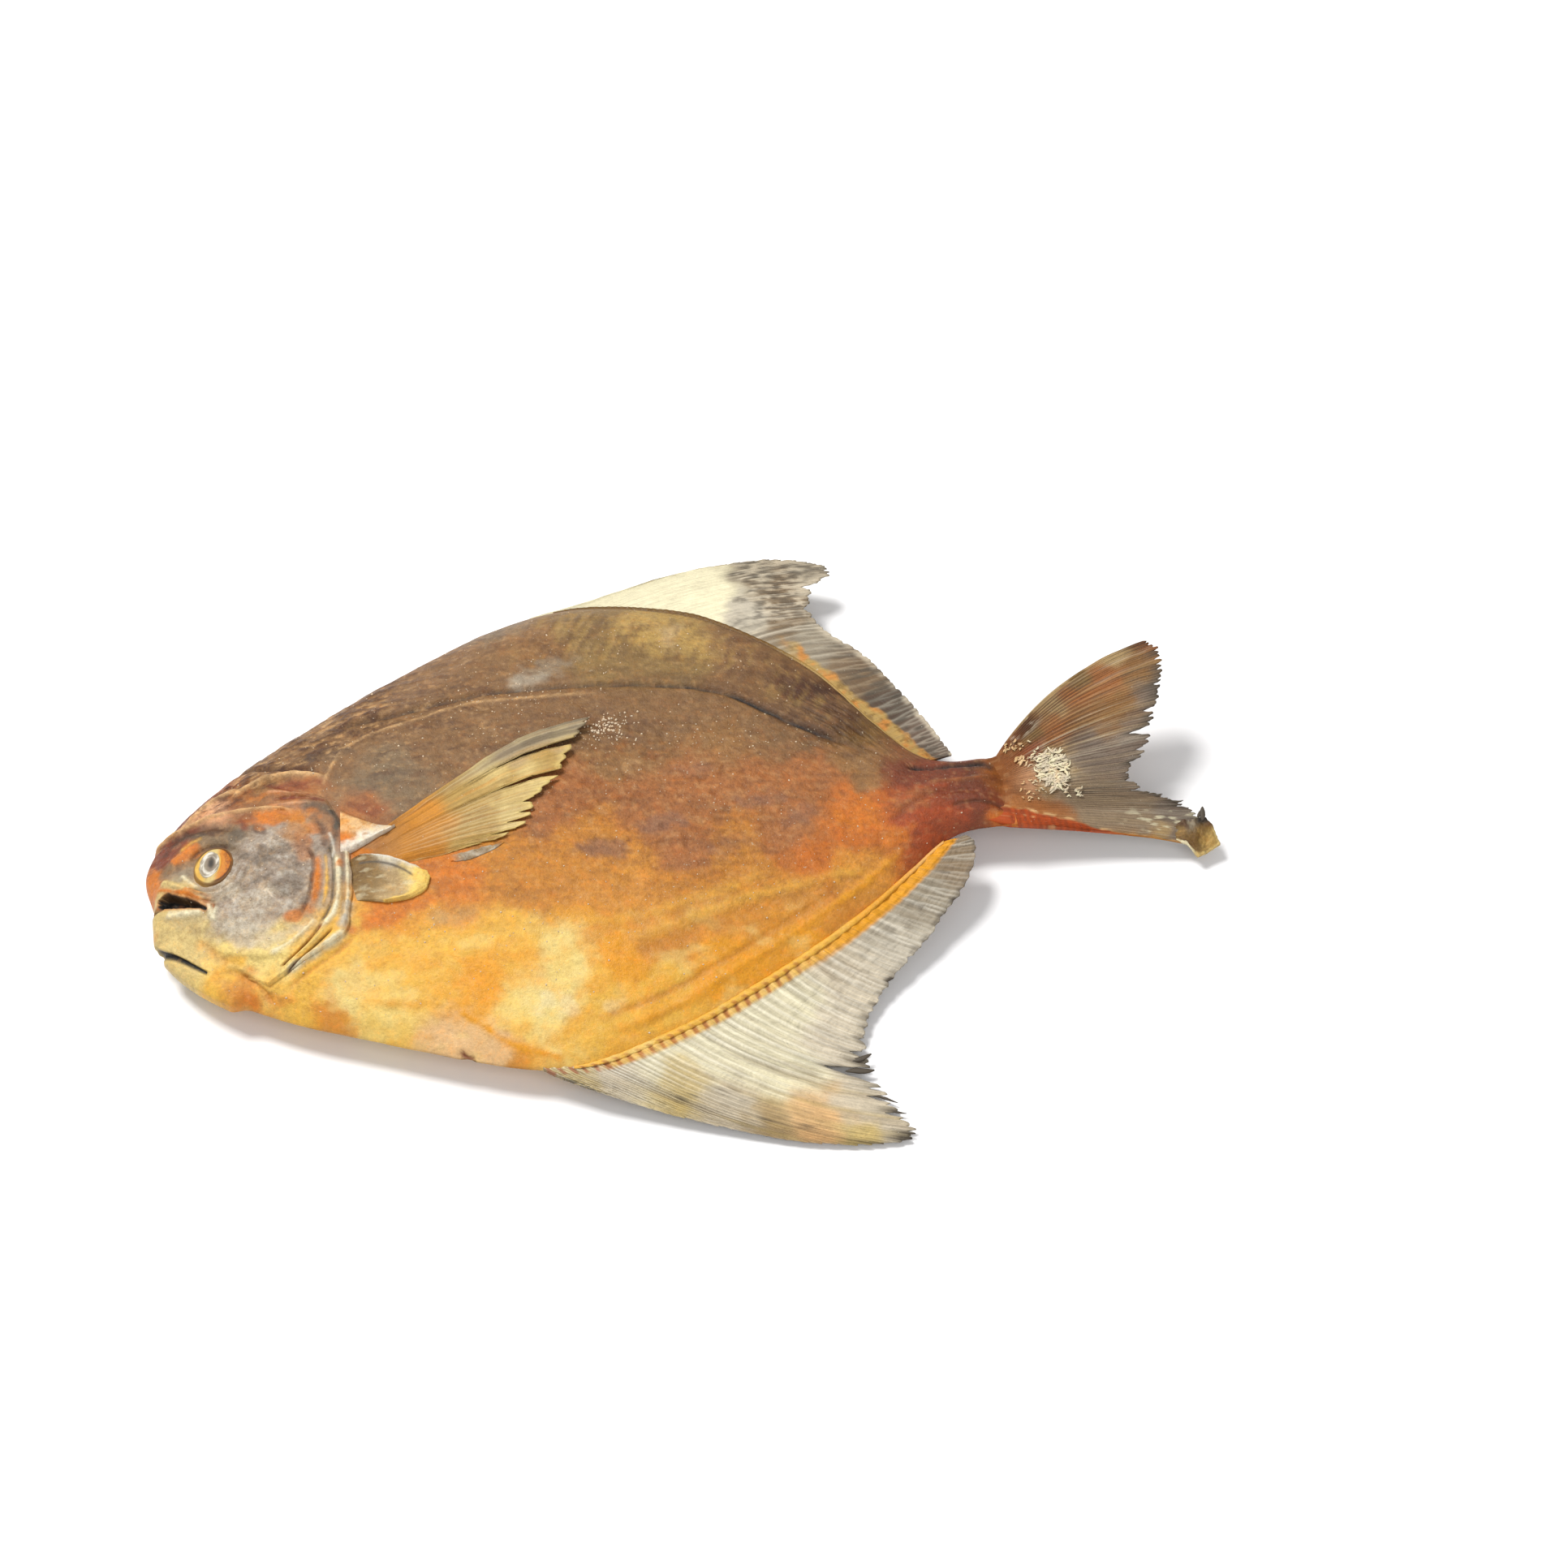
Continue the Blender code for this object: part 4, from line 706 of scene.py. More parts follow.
def piece(name, points, faces, colour, marks, finish, places=None):
    """One finished piece from fish-frame points, groups of faces, and a colour and marks at each point."""
    points = np.asarray(points, float).reshape(-1, 3)
    faces = outward(points - points.mean(0), faces)
    mesh = bpy.data.meshes.new(name)
    mesh.vertices.add(len(points))
    mesh.vertices.foreach_set("co", ((points - MIDDLE) * MM).astype(np.float32).ravel())
    corners = np.concatenate([group.ravel() for group in faces])
    sides = np.concatenate([np.full(len(group), group.shape[1]) for group in faces])
    mesh.loops.add(len(corners))
    mesh.loops.foreach_set("vertex_index", corners.astype(np.int32))
    mesh.polygons.add(len(sides))
    mesh.polygons.foreach_set("loop_start", (np.cumsum(sides) - sides).astype(np.int32))
    mesh.polygons.foreach_set("use_smooth", np.ones(len(sides), bool))
    mesh.update(calc_edges=True)
    paint = mesh.attributes.new("paint", "FLOAT_COLOR", "POINT")
    filled = np.ones((len(points), 4), np.float32)
    filled[:, :3] = np.asarray(colour).reshape(-1, 3)
    paint.data.foreach_set("color", filled.ravel())
    for mark, values in zip(MARKS, marks):
        layer = mesh.attributes.new(mark, "FLOAT", "POINT")
        values = np.zeros(len(points)) + np.ravel(values)
        layer.data.foreach_set("value", values.astype(np.float32))
    if places is not None:
        layer = mesh.uv_layers.new(name="rays")
        layer.data.foreach_set("uv", np.asarray(places, np.float32).reshape(-1, 2)[corners].ravel())
    mesh.validate()
    mesh.materials.append(finish)
    made = bpy.data.objects.new(name, mesh)
    bpy.context.scene.collection.objects.link(made)
    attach(made, BODY)
    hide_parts(NODE)
    return made



def plain(colour, shape):
    """One palette colour for every point of that shape."""
    return np.zeros(shape + (3,)) + seen(colour)


def grid_faces(rows, columns, closed=False):
    """Four-sided faces of a grid of rows x columns points, joined round to the first column if closed."""
    r, c = np.meshgrid(np.arange(rows - 1), np.arange(columns if closed else columns - 1), indexing="ij")
    beside = (c + 1) % columns
    here, above = r * columns, (r + 1) * columns
    return np.stack([here + c, here + beside, above + beside, above + c], -1).reshape(-1, 4)


def sheet(name, upper, lower, colour, marks, finish, places=None):
    """A closed thin piece from the grids of its upper and lower points, joined by a rim."""
    rows, columns = upper.shape[:2]
    count = rows * columns
    index = np.arange(count).reshape(rows, columns)
    rim = np.concatenate([index[0], index[1:, -1], index[-1, -2::-1], index[-2:0:-1, 0]])
    ahead = np.roll(rim, -1)
    top = grid_faces(rows, columns)
    wall = np.stack([ahead, rim, rim + count, ahead + count], -1)
    faces = [np.concatenate([top, top[:, ::-1] + count, wall])]
    points = np.concatenate([upper.reshape(-1, 3), lower.reshape(-1, 3)])
    twice = [np.tile(np.broadcast_to(mark, (rows, columns)).ravel(), 2) for mark in marks]
    both = None if places is None else np.tile(places.reshape(-1, 2), (2, 1))
    return piece(name, points, faces, np.tile(colour.reshape(-1, 3), (2, 1)), twice, finish, both)


def turned_ends(grid):
    """A grid closed round its columns, with a middle point added at each end: its points and faces."""
    rows, columns = grid.shape[:2]
    count = rows * columns
    points = np.concatenate([grid.reshape(-1, 3), grid[0].mean(0)[None], grid[-1].mean(0)[None]])
    k = np.arange(columns)
    beside = (k + 1) % columns
    first = np.stack([np.full(columns, count), beside, k], -1)
    last = (rows - 1) * columns
    final = np.stack([np.full(columns, count + 1), last + k, last + beside], -1)
    return points, [grid_faces(rows, columns, True), np.concatenate([first, final])]


def with_ends(values):
    """Values on a grid, with the mean of its first and of its last row added for the two middle points."""
    flat = values.reshape((-1,) + values.shape[2:])
    return np.concatenate([flat, values[0].mean(0)[None], values[-1].mean(0)[None]])


# ---------------------------------------------------------------- shader sums

class Value:
    """What comes out of a node. Sums on it add Math nodes to its material."""

    def __init__(self, finish, socket):
        self.finish = finish
        self.socket = socket

    def sum(self, operation, first, second=0.0):
        return self.finish.add("Math", {"operation": operation}, {0: first, 1: second})

    def __add__(self, other):
        return self.sum("ADD", self, other)

    def __radd__(self, other):
        return self.sum("ADD", other, self)

    def __sub__(self, other):
        return self.sum("SUBTRACT", self, other)

    def __rsub__(self, other):
        return self.sum("SUBTRACT", other, self)

    def __mul__(self, other):
        return self.sum("MULTIPLY", self, other)

    def __rmul__(self, other):
        return self.sum("MULTIPLY", other, self)

    def between(self, low, high):
        """0 below low, 1 above high, and w*w*(3-2w) between."""
        sockets = {"Value": self, "From Min": low, "From Max": high}
        return self.finish.add("MapRange", {"interpolation_type": "SMOOTHSTEP"}, sockets)


class Finish:
    """A material with one Principled shader, built by adding nodes."""

    def __init__(self, name):
        self.material = bpy.data.materials.new(name)
        self.material.use_nodes = True
        self.tree = self.material.node_tree
        self.shader = self.tree.nodes["Principled BSDF"]

    def add(self, kind, settings=None, sockets=None, output=0):
        """Adds a node: first its settings, then the values or links of its sockets. Gives one output."""
        node = self.tree.nodes.new("ShaderNode" + kind)
        for name, value in (settings or {}).items():
            setattr(node, name, value)
        for key, value in (sockets or {}).items():
            self.feed(node.inputs[key], value)
        return Value(self, node.outputs[output])

    def feed(self, socket, value):
        """Links a value to a socket, or sets the socket to a number, a vector or a colour."""
        if isinstance(value, Value):
            self.tree.links.new(value.socket, socket)
        else:
            socket.default_value = value

    def mark(self, name):
        """A mark that the piece's points carry."""
        return self.add("Attribute", {"attribute_name": name}, output=2)

    def paint(self):
        """The colour that the piece's points carry."""
        return self.add("Attribute", {"attribute_name": "paint"})

    def stretched(self, place, scale, turn=0.0):
        """A place scaled by three numbers and turned about z."""
        return self.add("Mapping", None, {"Vector": place, "Rotation": (0, 0, turn), "Scale": scale})

    def millimetres(self):
        """The place on the piece, in millimetres."""
        return self.stretched(self.add("TexCoord", output=3), (1000, 1000, 1000))

    def noise(self, place, scale, detail=3.0, roughness=0.55):
        """Noise from 0 to 1 at a place."""
        sockets = {"Vector": place, "Scale": scale, "Detail": detail, "Roughness": roughness}
        return self.add("TexNoise", None, sockets)

    def mix(self, share, first, second):
        """Two colours mixed by a share."""
        return self.add("Mix", {"data_type": "RGBA"}, {0: share, 6: first, 7: second}, output=2)

    def tinted(self, colour, tint):
        """A colour times a tint, channel by channel."""
        return self.add("VectorMath", {"operation": "MULTIPLY"}, {0: colour, 1: tint})

    def dimmed(self, colour, factor):
        """A colour times one number."""
        return self.add("VectorMath", {"operation": "SCALE"}, {0: colour, "Scale": factor})

    def shaded(self, colour, tone):
        """A colour made darker below a tone of 1 and lighter above it, its dark parts warmer."""
        sockets = {0: tone * 0.8 + 0.2, 1: tone, 2: tone * 1.25 - 0.25}
        share = self.add("CombineXYZ", None, sockets)
        share = self.add("VectorMath", {"operation": "MAXIMUM"}, {0: share, 1: (0.15, 0.15, 0.1)})
        return self.tinted(colour, share)

    def done(self, colour, roughness, height, bump, **constants):
        """Feeds the shader and gives the material. Height is in millimetres."""
        self.feed(self.shader.inputs["Base Color"], colour)
        self.feed(self.shader.inputs["Roughness"], roughness)
        normal = self.add("Bump", None, {"Height": height, "Strength": bump, "Distance": MM})
        self.feed(self.shader.inputs["Normal"], normal)
        for name, value in constants.items():
            self.shader.inputs[name.replace("_", " ")].default_value = value
        return self.material


def linear(colour):
    """A palette colour with its alpha, as a node takes it."""
    return (*seen(colour), 1.0)


def skin_finish():
    """Dried oily skin: the painted colour, broken by fibres, mottling, crumbs and salt dust."""
    finish = Finish("dried_skin_finish")
    place = finish.millimetres()
    fibres = finish.noise(finish.stretched(place, (0.2, 1.3, 1.3), 0.12), 1.0, 4.0, 0.65)
    fine_fibres = finish.noise(finish.stretched(place, (0.7, 3.2, 3.2), -0.1), 1.0, 2.0)
    mottle = finish.noise(place, 0.3, 6.0, 0.65)
    grain = finish.noise(place, 1.5, 4.0, 0.7)
    crumbs = finish.noise(place, 0.7, 5.0, 0.72)
    fibre, dust, gloss, rough = (finish.mark(name) for name in MARKS)
    tone = 1.0 + (mottle - 0.5) * (0.85 - gloss * 0.6) + (grain - 0.5) * (0.55 - gloss * 0.3 + rough * 0.6)
    tone = tone + (crumbs - 0.5) * (0.5 - gloss * 0.25 + rough * 1.6)
    tone = tone + (fibres - 0.5) * fibre * 0.9 + (fine_fibres - 0.5) * fibre * 0.5
    colour = finish.shaded(finish.paint(), tone)
    redder = finish.tinted(colour, (1.05, 0.89, 0.7))
    colour = finish.mix((mottle * 0.6 + grain * 0.4).between(0.46, 0.66), colour, redder)
    specks = finish.noise(place, 1.1, 2.0, 0.6)
    specks = (specks + dust * 0.08).between(0.75, 0.82)
    colour = finish.mix(specks * 0.55, colour, linear("bone"))
    roughness = 0.52 - gloss * 0.16 + (mottle - 0.5) * 0.3 + specks * 0.2
    height = grain * 0.16 + fine_fibres * fibre * 0.15 + fibres * fibre * 0.3 + crumbs * (0.3 + rough * 0.4)
    return finish.done(colour, roughness, height, 0.9, Specular_IOR_Level=0.42)


def fin_finish():
    """Papery dried fin: the painted colour with streaks along its rays, creases across them and dust."""
    finish = Finish("dried_fin_finish")
    rays = finish.add("UVMap", {"uv_map": "rays"})
    place = finish.millimetres()
    streaks = finish.noise(finish.stretched(rays, (2.6, 0.06, 1)), 1.0, 4.0, 0.6)
    strands = finish.noise(finish.stretched(rays, (9.0, 0.22, 1)), 1.0, 2.0)
    creased = finish.noise(finish.stretched(rays, (0.45, 1.3, 1)), 1.0, 3.0, 0.6)
    mottle = finish.noise(place, 0.35, 5.0, 0.6)
    grain = finish.noise(place, 1.9, 3.0, 0.6)
    fibre, dust = finish.mark("fibre"), finish.mark("dust")
    tone = 1.0 + (streaks - 0.5) * fibre * 0.9 + (strands - 0.5) * fibre * 0.5
    tone = tone + (mottle - 0.5) * 0.35 + (grain - 0.5) * 0.3 + (creased - 0.5) * fibre * 0.45
    colour = finish.dimmed(finish.paint(), tone)
    specks = (finish.noise(place, 1.8, 2.0, 0.6) + dust * 0.1).between(0.72, 0.8)
    colour = finish.mix(specks * 0.6, colour, linear("salt"))
    roughness = 0.62 + (mottle - 0.5) * 0.3
    height = strands * 0.16 + streaks * 0.2 + grain * 0.1 + creased * 0.28
    return finish.done(colour, roughness, height, 0.7, Specular_IOR_Level=0.35)


def eye_finish():
    """The clouded eye: the painted colour under a dull, slightly wet surface."""
    finish = Finish("clouded_eye_finish")
    place = finish.millimetres()
    cloud = finish.noise(place, 1.4, 4.0, 0.6)
    colour = finish.dimmed(finish.paint(), 0.8 + cloud * 0.4)
    return finish.done(colour, 0.5 + cloud * 0.2, cloud * 0.15, 0.5, Specular_IOR_Level=0.3)


def salt_finish():
    """Grains of salt dried on: nearly white, a little yellow in places."""
    finish = Finish("salt_finish")
    place = finish.millimetres()
    cloud = finish.noise(place, 0.5, 2.0)
    colour = finish.mix(cloud, linear("salt"), linear("peach"))
    bumps = finish.noise(place, 3.0, 2.0)
    return finish.done(colour, 0.45 + cloud * 0.2, bumps, 0.4, Specular_IOR_Level=0.5)


# ---------------------------------------------------------------- body, plates, eye and ropes

def spread(count):
    """Places across the body from 1 at the back to nearly -1, even in the middle, close at the ends."""
    t = np.arange(count) / count
    return EVEN_SPREAD * (1 - 2 * t) + (1 - EVEN_SPREAD) * np.cos(math.pi * t)


def body_surface():
    """The body's smooth skin: for station s and turn t it is (x, y, z) with x = length * s^1.5.

    y goes across between the belly and the back profile, and z is the keel plus the rise, or minus the
    drop, times the lens.
    """
    across = np.concatenate([spread(UPPER_COLUMNS), -spread(LOWER_COLUMNS)])
    above = np.arange(len(across)) < UPPER_COLUMNS
    share = np.arange(1, BODY_STATIONS + 1) / BODY_STATIONS
    stations = BODY_LENGTH * share**SNOUT_CROWDING
    back, belly = profile(BACK, stations)[:, None], profile(BELLY, stations)[:, None]
    y = (back + belly) / 2 + (back - belly) / 2 * across
    half = np.where(above, profile(RISE, stations)[:, None], -profile(DROP, stations)[:, None])
    z = profile(KEEL, stations)[:, None] + half * lens(across)
    x = np.repeat(stations[:, None], len(across), 1)
    return np.stack([x, y, np.maximum(z, 0)], -1)


def surface_normals(grid):
    """Unit normals of a grid that is closed round its columns, pointing out of the body."""
    along = np.gradient(grid, axis=0)
    around = np.roll(grid, -1, 1) - np.roll(grid, 1, 1)
    normal = np.cross(around, along)
    return normal / np.maximum(np.linalg.norm(normal, axis=2, keepdims=True), SMALL)


def body(finish):
    """The body's skin with its relief, as one closed surface. Gives the piece and its grid of points."""
    smooth = body_surface()
    height, colour, marks = skin(smooth[..., 0], smooth[..., 1])
    x = smooth[..., 0]
    calm = step(x, 0, 2.5)
    height = height * calm - TAIL_END_SUNK * step(x, 232, 239.5)
    grid = smooth + surface_normals(smooth) * height[..., None]
    dents = 0.25 * np.maximum(noise(grid[..., 0], grid[..., 1], 6, 22), 0)
    grid[..., 2] = np.maximum(grid[..., 2], np.where(smooth[..., 2] < 0.05, dents, 0))
    points, faces = turned_ends(grid)
    marks = [with_ends(mark) for mark in marks]
    return piece("body_skin", points, faces, with_ends(colour), marks, finish), grid


def plate(name, start, edge, shape, finish, paint=None):
    """A plate that leaves the skin along one curve and stands proud of it at the other.

    At share v of the way it stands (proud + 0.3) * v^curve - 0.3 above the skin, rounded off at its edge.
    """
    columns, rows, proud, sunk, curve = shape
    inner, outer = smooth_curve(start, columns), smooth_curve(edge, columns)
    v = np.linspace(0, 1, rows)[:, None]
    along = np.linspace(0, 1, columns)[None]
    place = inner[None] * (1 - v[..., None]) + outer[None] * v[..., None]
    ragged = 0.35 * noise(along * 60, 0 * along, 3, 23) * step(v, 0.8, 1)
    x, y = place[..., 0] + ragged, place[..., 1] + 0.5 * ragged
    height, colour, marks = skin(x, y)
    base = skin_top(x, y)
    rise = (proud + 0.3) * v**curve - 0.3 - 0.5 * proud * step(v, 0.9, 1.0) ** 2
    top = base + height + rise
    if paint is not None:
        colour = paint(x, y, along + 0 * v, v + 0 * along, colour)
    upper = np.stack([x, y, top], -1)
    lower = np.stack([x, y, base - sunk + 0 * rise], -1)
    return sheet(name, upper, lower, colour, marks, finish)


def flap_paint(x, y, along, v, colour):
    """The flap behind the gill cover: olive with painted shadow by its foot, a white band above, a yellow
    rim behind.
    """
    # painted shadow: the olive-brown and olive washes by the foot, where the gill cover shades the flap
    washes = (("olive_brown", 58, -15, 5), ("olive", 61, -19, 4), ("olive", 64, -16, 4),
              ("tan", 69, -17, 4), ("pale_grey", 68, -12.5, 3), ("lemon", 75.5, -19, 3),
              ("tan", 67, -21, 4), ("straw", 72, -16, 3))
    colour = washed(x, y, washes)
    wrinkled = noise(x + 0.4 * y, 2.2 * y, 3, 30, 3)
    lay(colour, "olive", 0.7 * step(wrinkled, 0.0, 0.8) * step(0.8 - v, 0, 0.4))
    lay(colour, "cream", 0.35 * step(-wrinkled, 0.1, 0.9))
    away, _, _ = near_line(x, y, ((60, -11.6), (66, -12.6), (70.5, -14.8), (74.2, -18)), 4.0)
    lay(colour, "slate", 0.85 * np.exp(-((away / 0.4) ** 2)))
    rim = step(v + 0.08 * noise(x, y, 3, 31), 0.78, 0.9)
    lay(colour, "salt", 0.9 * rim * step(0.5 - along, 0, 0.1))
    return blend(colour, "yellow", 0.95 * rim * step(along, 0.4, 0.5))


def bone_paint(x, y, along, v, colour):
    """The shoulder bone: peach, orange by the gill cover and white along its lower edge."""
    washes = (("peach", 58, 2, 4), ("peach", 58, 6, 3), ("flame", 56, -3, 2.6), ("peach", 62, 0, 3),
              ("salt", 62, -2.4, 2.6), ("bone", 66, -0.6, 3), ("honey", 56, 3, 2))
    colour = washed(x, y, washes)
    spots = noise(x, y, 1.4, 37)
    lay(colour, "orange", 0.6 * step(spots, 0.1, 0.7))
    lay(colour, "red_brown", 0.85 * step(0.14 - v, 0, 0.08))
    return blend(colour, "salt", 0.85 * step(v + 0.05 * spots, 0.72, 0.86))


def eye(finish):
    """The eye: a low dome, and off its middle a flatter cornea with a dent for the pupil.

    With r the distance from its middle over its radius, and c that from the cornea's middle over the
    cornea's radius, it stands 1.3 * sqrt(1 - (r / 1.12)^2) above the skin, sunk by 0.75, plus
    0.2 exp(-((c - 1) / 0.14)^2) for the cornea's edge, less 0.15 exp(-(c / 0.4)^2) for the pupil.
    """
    rings, sides = EYE_GRID
    r = np.linspace(1.3, 0.015, rings)[:, None]
    turn = np.linspace(0, 2 * math.pi, sides, endpoint=False)[None]
    px, py = r * np.cos(turn), r * np.sin(turn)
    c, s = math.cos(EYE_TURN), math.sin(EYE_TURN)
    across, upright = EYE_RADIUS * EYE_STRETCH[0] * px, EYE_RADIUS * EYE_STRETCH[1] * py
    dx, dy = across * c - upright * s, across * s + upright * c
    uneven = 0.05 * noise(px, py, 0.5, 40, 2) * step(1.1 - np.hypot(px, py), 0, 0.4)
    r = r + uneven
    cornea_x = (px - CORNEA_PLACE[0]) / CORNEA_RADII[0]
    cornea_y = (py - CORNEA_PLACE[1]) / CORNEA_RADII[1]
    cornea = np.hypot(cornea_x, cornea_y) + uneven
    spot = np.array([EYE_PLACE, (EYE_PLACE[0] + 5, EYE_PLACE[1]), (EYE_PLACE[0], EYE_PLACE[1] + 5)])
    level, beside, behind = skin_top(spot[:, 0], spot[:, 1])
    dome = EYE_DOME * np.sqrt(np.maximum(1 - (r / 1.12) ** 2, 0))
    rise = dome + CORNEA_EDGE * np.exp(-(((cornea - 1) / 0.14) ** 2))
    rise = rise - PUPIL_DENT * np.exp(-((cornea / 0.4) ** 2))
    rise = rise - 7 * np.maximum(r - 1.1, 0) + 2 * uneven
    z = level + (beside - level) / 5 * dx + (behind - level) / 5 * dy + rise - EYE_SUNK
    grid = np.stack([EYE_PLACE[0] + dx, EYE_PLACE[1] + dy, z], -1)

    blot, fine = noise(px, py, 0.3, 41), noise(px, py, 0.14, 42)
    right, top = step(px, 0.05, 0.45), step(py, -0.2, 0.6)
    colour = blend(plain("straw", px.shape), "tan", step(blot, 0, 0.6))
    lay(colour, "gold", 0.7 * step(-px, 0.2, 0.6))
    lay(colour, "honey", right)
    lay(colour, "ember", right * (0.35 + 0.5 * step(blot, -0.3, 0.6)) * step(cornea, 1.08, 1.22))
    lay(colour, "brick", 0.6 * right * step(fine, 0.1, 0.7) * step(cornea, 1.3, 1.6))
    lay(colour, "yellow", 0.7 * right * np.exp(-(((cornea - 1.05) / 0.06) ** 2)))
    lay(colour, "ash", step(1.05 - cornea + 0.1 * blot, 0, 0.1))
    streaks = noise(2 * cornea, 0.6 * np.arctan2(py, px), 0.4, 43)
    pale = step(1.0 - cornea, 0, 0.12) * step(cornea, 0.42, 0.7)
    lay(colour, "salt", 0.9 * pale * step(streaks, -0.8, 0.1))
    lay(colour, "smoke", 0.35 * step(0.9 - cornea, 0, 0.3) * step(-streaks, 0.1, 0.7))
    pupil = np.hypot((px + 0.12) / 0.17, (py - 0.06) / 0.31) + 0.15 * blot
    lay(colour, "smoke", 0.8 * step(2.0 - pupil, 0, 1.0))
    lay(colour, "slate", step(1.3 - pupil, 0, 0.7))
    lay(colour, "soot", 0.6 * step(0.8 - pupil, 0, 0.6))
    low_right = step(px - 0.8 * py, 0.6, 1.1)
    lay(colour, "bark", 0.9 * step(r, 0.9, 0.98) * np.maximum(top, low_right))
    lay(colour, "umber", 0.8 * step(r, 1.0, 1.06))
    points, faces = turned_ends(grid)
    return piece("eye", points, faces, with_ends(colour), NO_MARKS, finish)


def rope(name, outline, count, span, shape, base, tick, finish):
    """The ribbed rope of ray roots along a fin: a round section carried along the outline.

    Its radius is R * (1 + swell * cos(phase)), where the phase turns once for each rib and runs ahead round
    the section, so the notches between the swellings slant.
    """
    radius, swell, slant = shape
    along = np.linspace(0, 1, count * ROPE_STEPS_A_RIB)[:, None]
    turn = np.linspace(0, 2 * math.pi, ROPE_SIDES, endpoint=False)[None]
    x = span[0] + (span[1] - span[0]) * along
    phase = 2 * math.pi * count * along + slant * np.cos(turn)
    taper = np.sin(math.pi * np.clip(along, 0.02, 0.98)) ** 0.33
    rough = 1 + swell * np.cos(phase) * step(198 - x, 0, 30) + 0.1 * noise(x + 0 * turn, 4 * turn, 3, 50)
    section = radius * taper * rough
    outline_y = profile(outline, x[:, 0])[:, None]
    z = profile(KEEL, x[:, 0])[:, None] + ROPE_ABOVE_KEEL + ROPE_FLATNESS * section * np.sin(turn)
    grid = np.stack([x + 0 * turn, outline_y + section * np.cos(turn) * ROPE_BREADTH, z], -1)
    colour = base(grid[..., 0])
    outer = step(np.cos(turn) * np.sign(outline_y), -0.3, 0.4)
    uneven = 0.75 + 0.35 * noise(x + 0 * turn, 0 * turn, 4, 51)
    dark = step(-np.cos(phase), -0.1, 0.8) * outer * uneven
    lay(colour, tick, 0.6 * dark * step(196 - x, 0, 30))
    points, faces = turned_ends(grid)
    return piece(name, points, faces, with_ends(colour), (0.1, 0.3, 0.7, 0.2), finish)


def belly_rope_colour(x):
    """Pale yellow along the belly, orange towards the tail."""
    colour = blend(plain("gold", x.shape), "lemon", 0.6 * step(noise(x, 0 * x, 6, 52), -0.4, 0.6))
    lay(colour, "gold", 0.8 * step(x, 150, 172))
    lay(colour, "amber", 0.7 * step(x, 182, 200))
    return blend(colour, "peach", 0.5 * step(x, 200, 216))


def back_rope_colour(x):
    """Brown along the front of the back fin, mossy yellow behind."""
    return blend(plain("olive_brown", x.shape), "moss", 0.8 * step(x, 178, 192))


# ---------------------------------------------------------------- fins

def margin(places, tears, count, ragged, rng):
    """The share of each ray that is left: each ray ends in a tooth, and tears run further in.

    Between two rays the skin draws back by a share of its own. Each ray is shortened a little by chance.
    """
    ray = places * count
    number = np.floor(ray).astype(int)
    short = rng.uniform(0, 1, count + 2)[number]
    between = np.abs(ray - number - 0.5) * 2
    dip = rng.uniform(0.2, 1, count + 2)[np.floor(ray + 0.5).astype(int)]
    left = 1 - ragged * (0.35 * short + 0.9 * dip * between**1.6)
    left -= 0.25 * ragged * (noise(places * count * 6, 0 * places, 3, 60, 2) + 1) / 2
    for place, share, half in tears:
        notch = 1 - (1 - share) * np.maximum(0, 1 - np.abs(places - place) / half)
        left = np.where(notch < 1, np.minimum(notch, left), left)
    return left


def ray_grid(rays, tears, count, rows, ragged, seed, late=0.0):
    """A fin as rows of points from foot to tip: (points, place along the fin, share of the ray).

    The rays' table is (foot x, y, z, tip x, y, z, bow). A point at share v is foot + v * (tip - foot),
    moved aside by 4 v (1 - v) times the bow. With late 1 the bow comes late: it is times 1.69 v as well.
    """
    rng = np.random.default_rng(seed)
    places = np.linspace(0, 1, count * COLUMNS_A_RAY + 1)
    foot, tip, bow = np.split(smooth_curve(rays, places), (3, 6), axis=1)
    left = margin(places, tears, count, ragged, rng)
    ray = tip - foot
    aside = ray[:, [1, 0, 2]] * (-1, 1, 0) / np.linalg.norm(ray[:, :2], axis=1, keepdims=True)
    share = np.linspace(0, 1, rows + 1)[:, None] * left[None]
    points = foot[None] + share[..., None] * ray[None]
    curved = 4 * share * (1 - share) * (1 - late + late * 1.69 * share)
    points = points + curved[..., None] * (bow * aside)[None]
    place = np.repeat(places[None], rows + 1, 0)
    return points, place, share


def ray_crest(place, share, count):
    """How near a point is to a ray's crest: exp(-(distance / 0.2)^2). A crest splits in two further out."""
    across = place * count - np.floor(place * count) - 0.5
    forked = step(share, 0.4, 0.75)
    return np.exp(-(((np.abs(across) - 0.23 * forked) / (0.2 - 0.05 * forked)) ** 2))


def each_ray(place, count, seed):
    """A chance value for each ray, from about -1 to 1."""
    return noise(7.3 * np.floor(place * count), 0 * place, 3.0, seed, 1)


def fold(place, share, count, height):
    """Rays standing up from the skin between them."""
    return height * np.minimum(1, 4 * share) * (ray_crest(place, share, count) - 0.4)


def skin_joined(colour, x, y, share, reach):
    """A fin's colours, run into the skin's own over its foot."""
    weight = step(reach - share, 0, reach)[..., None]
    return colour * (1 - weight) + skin(x, y)[1] * weight


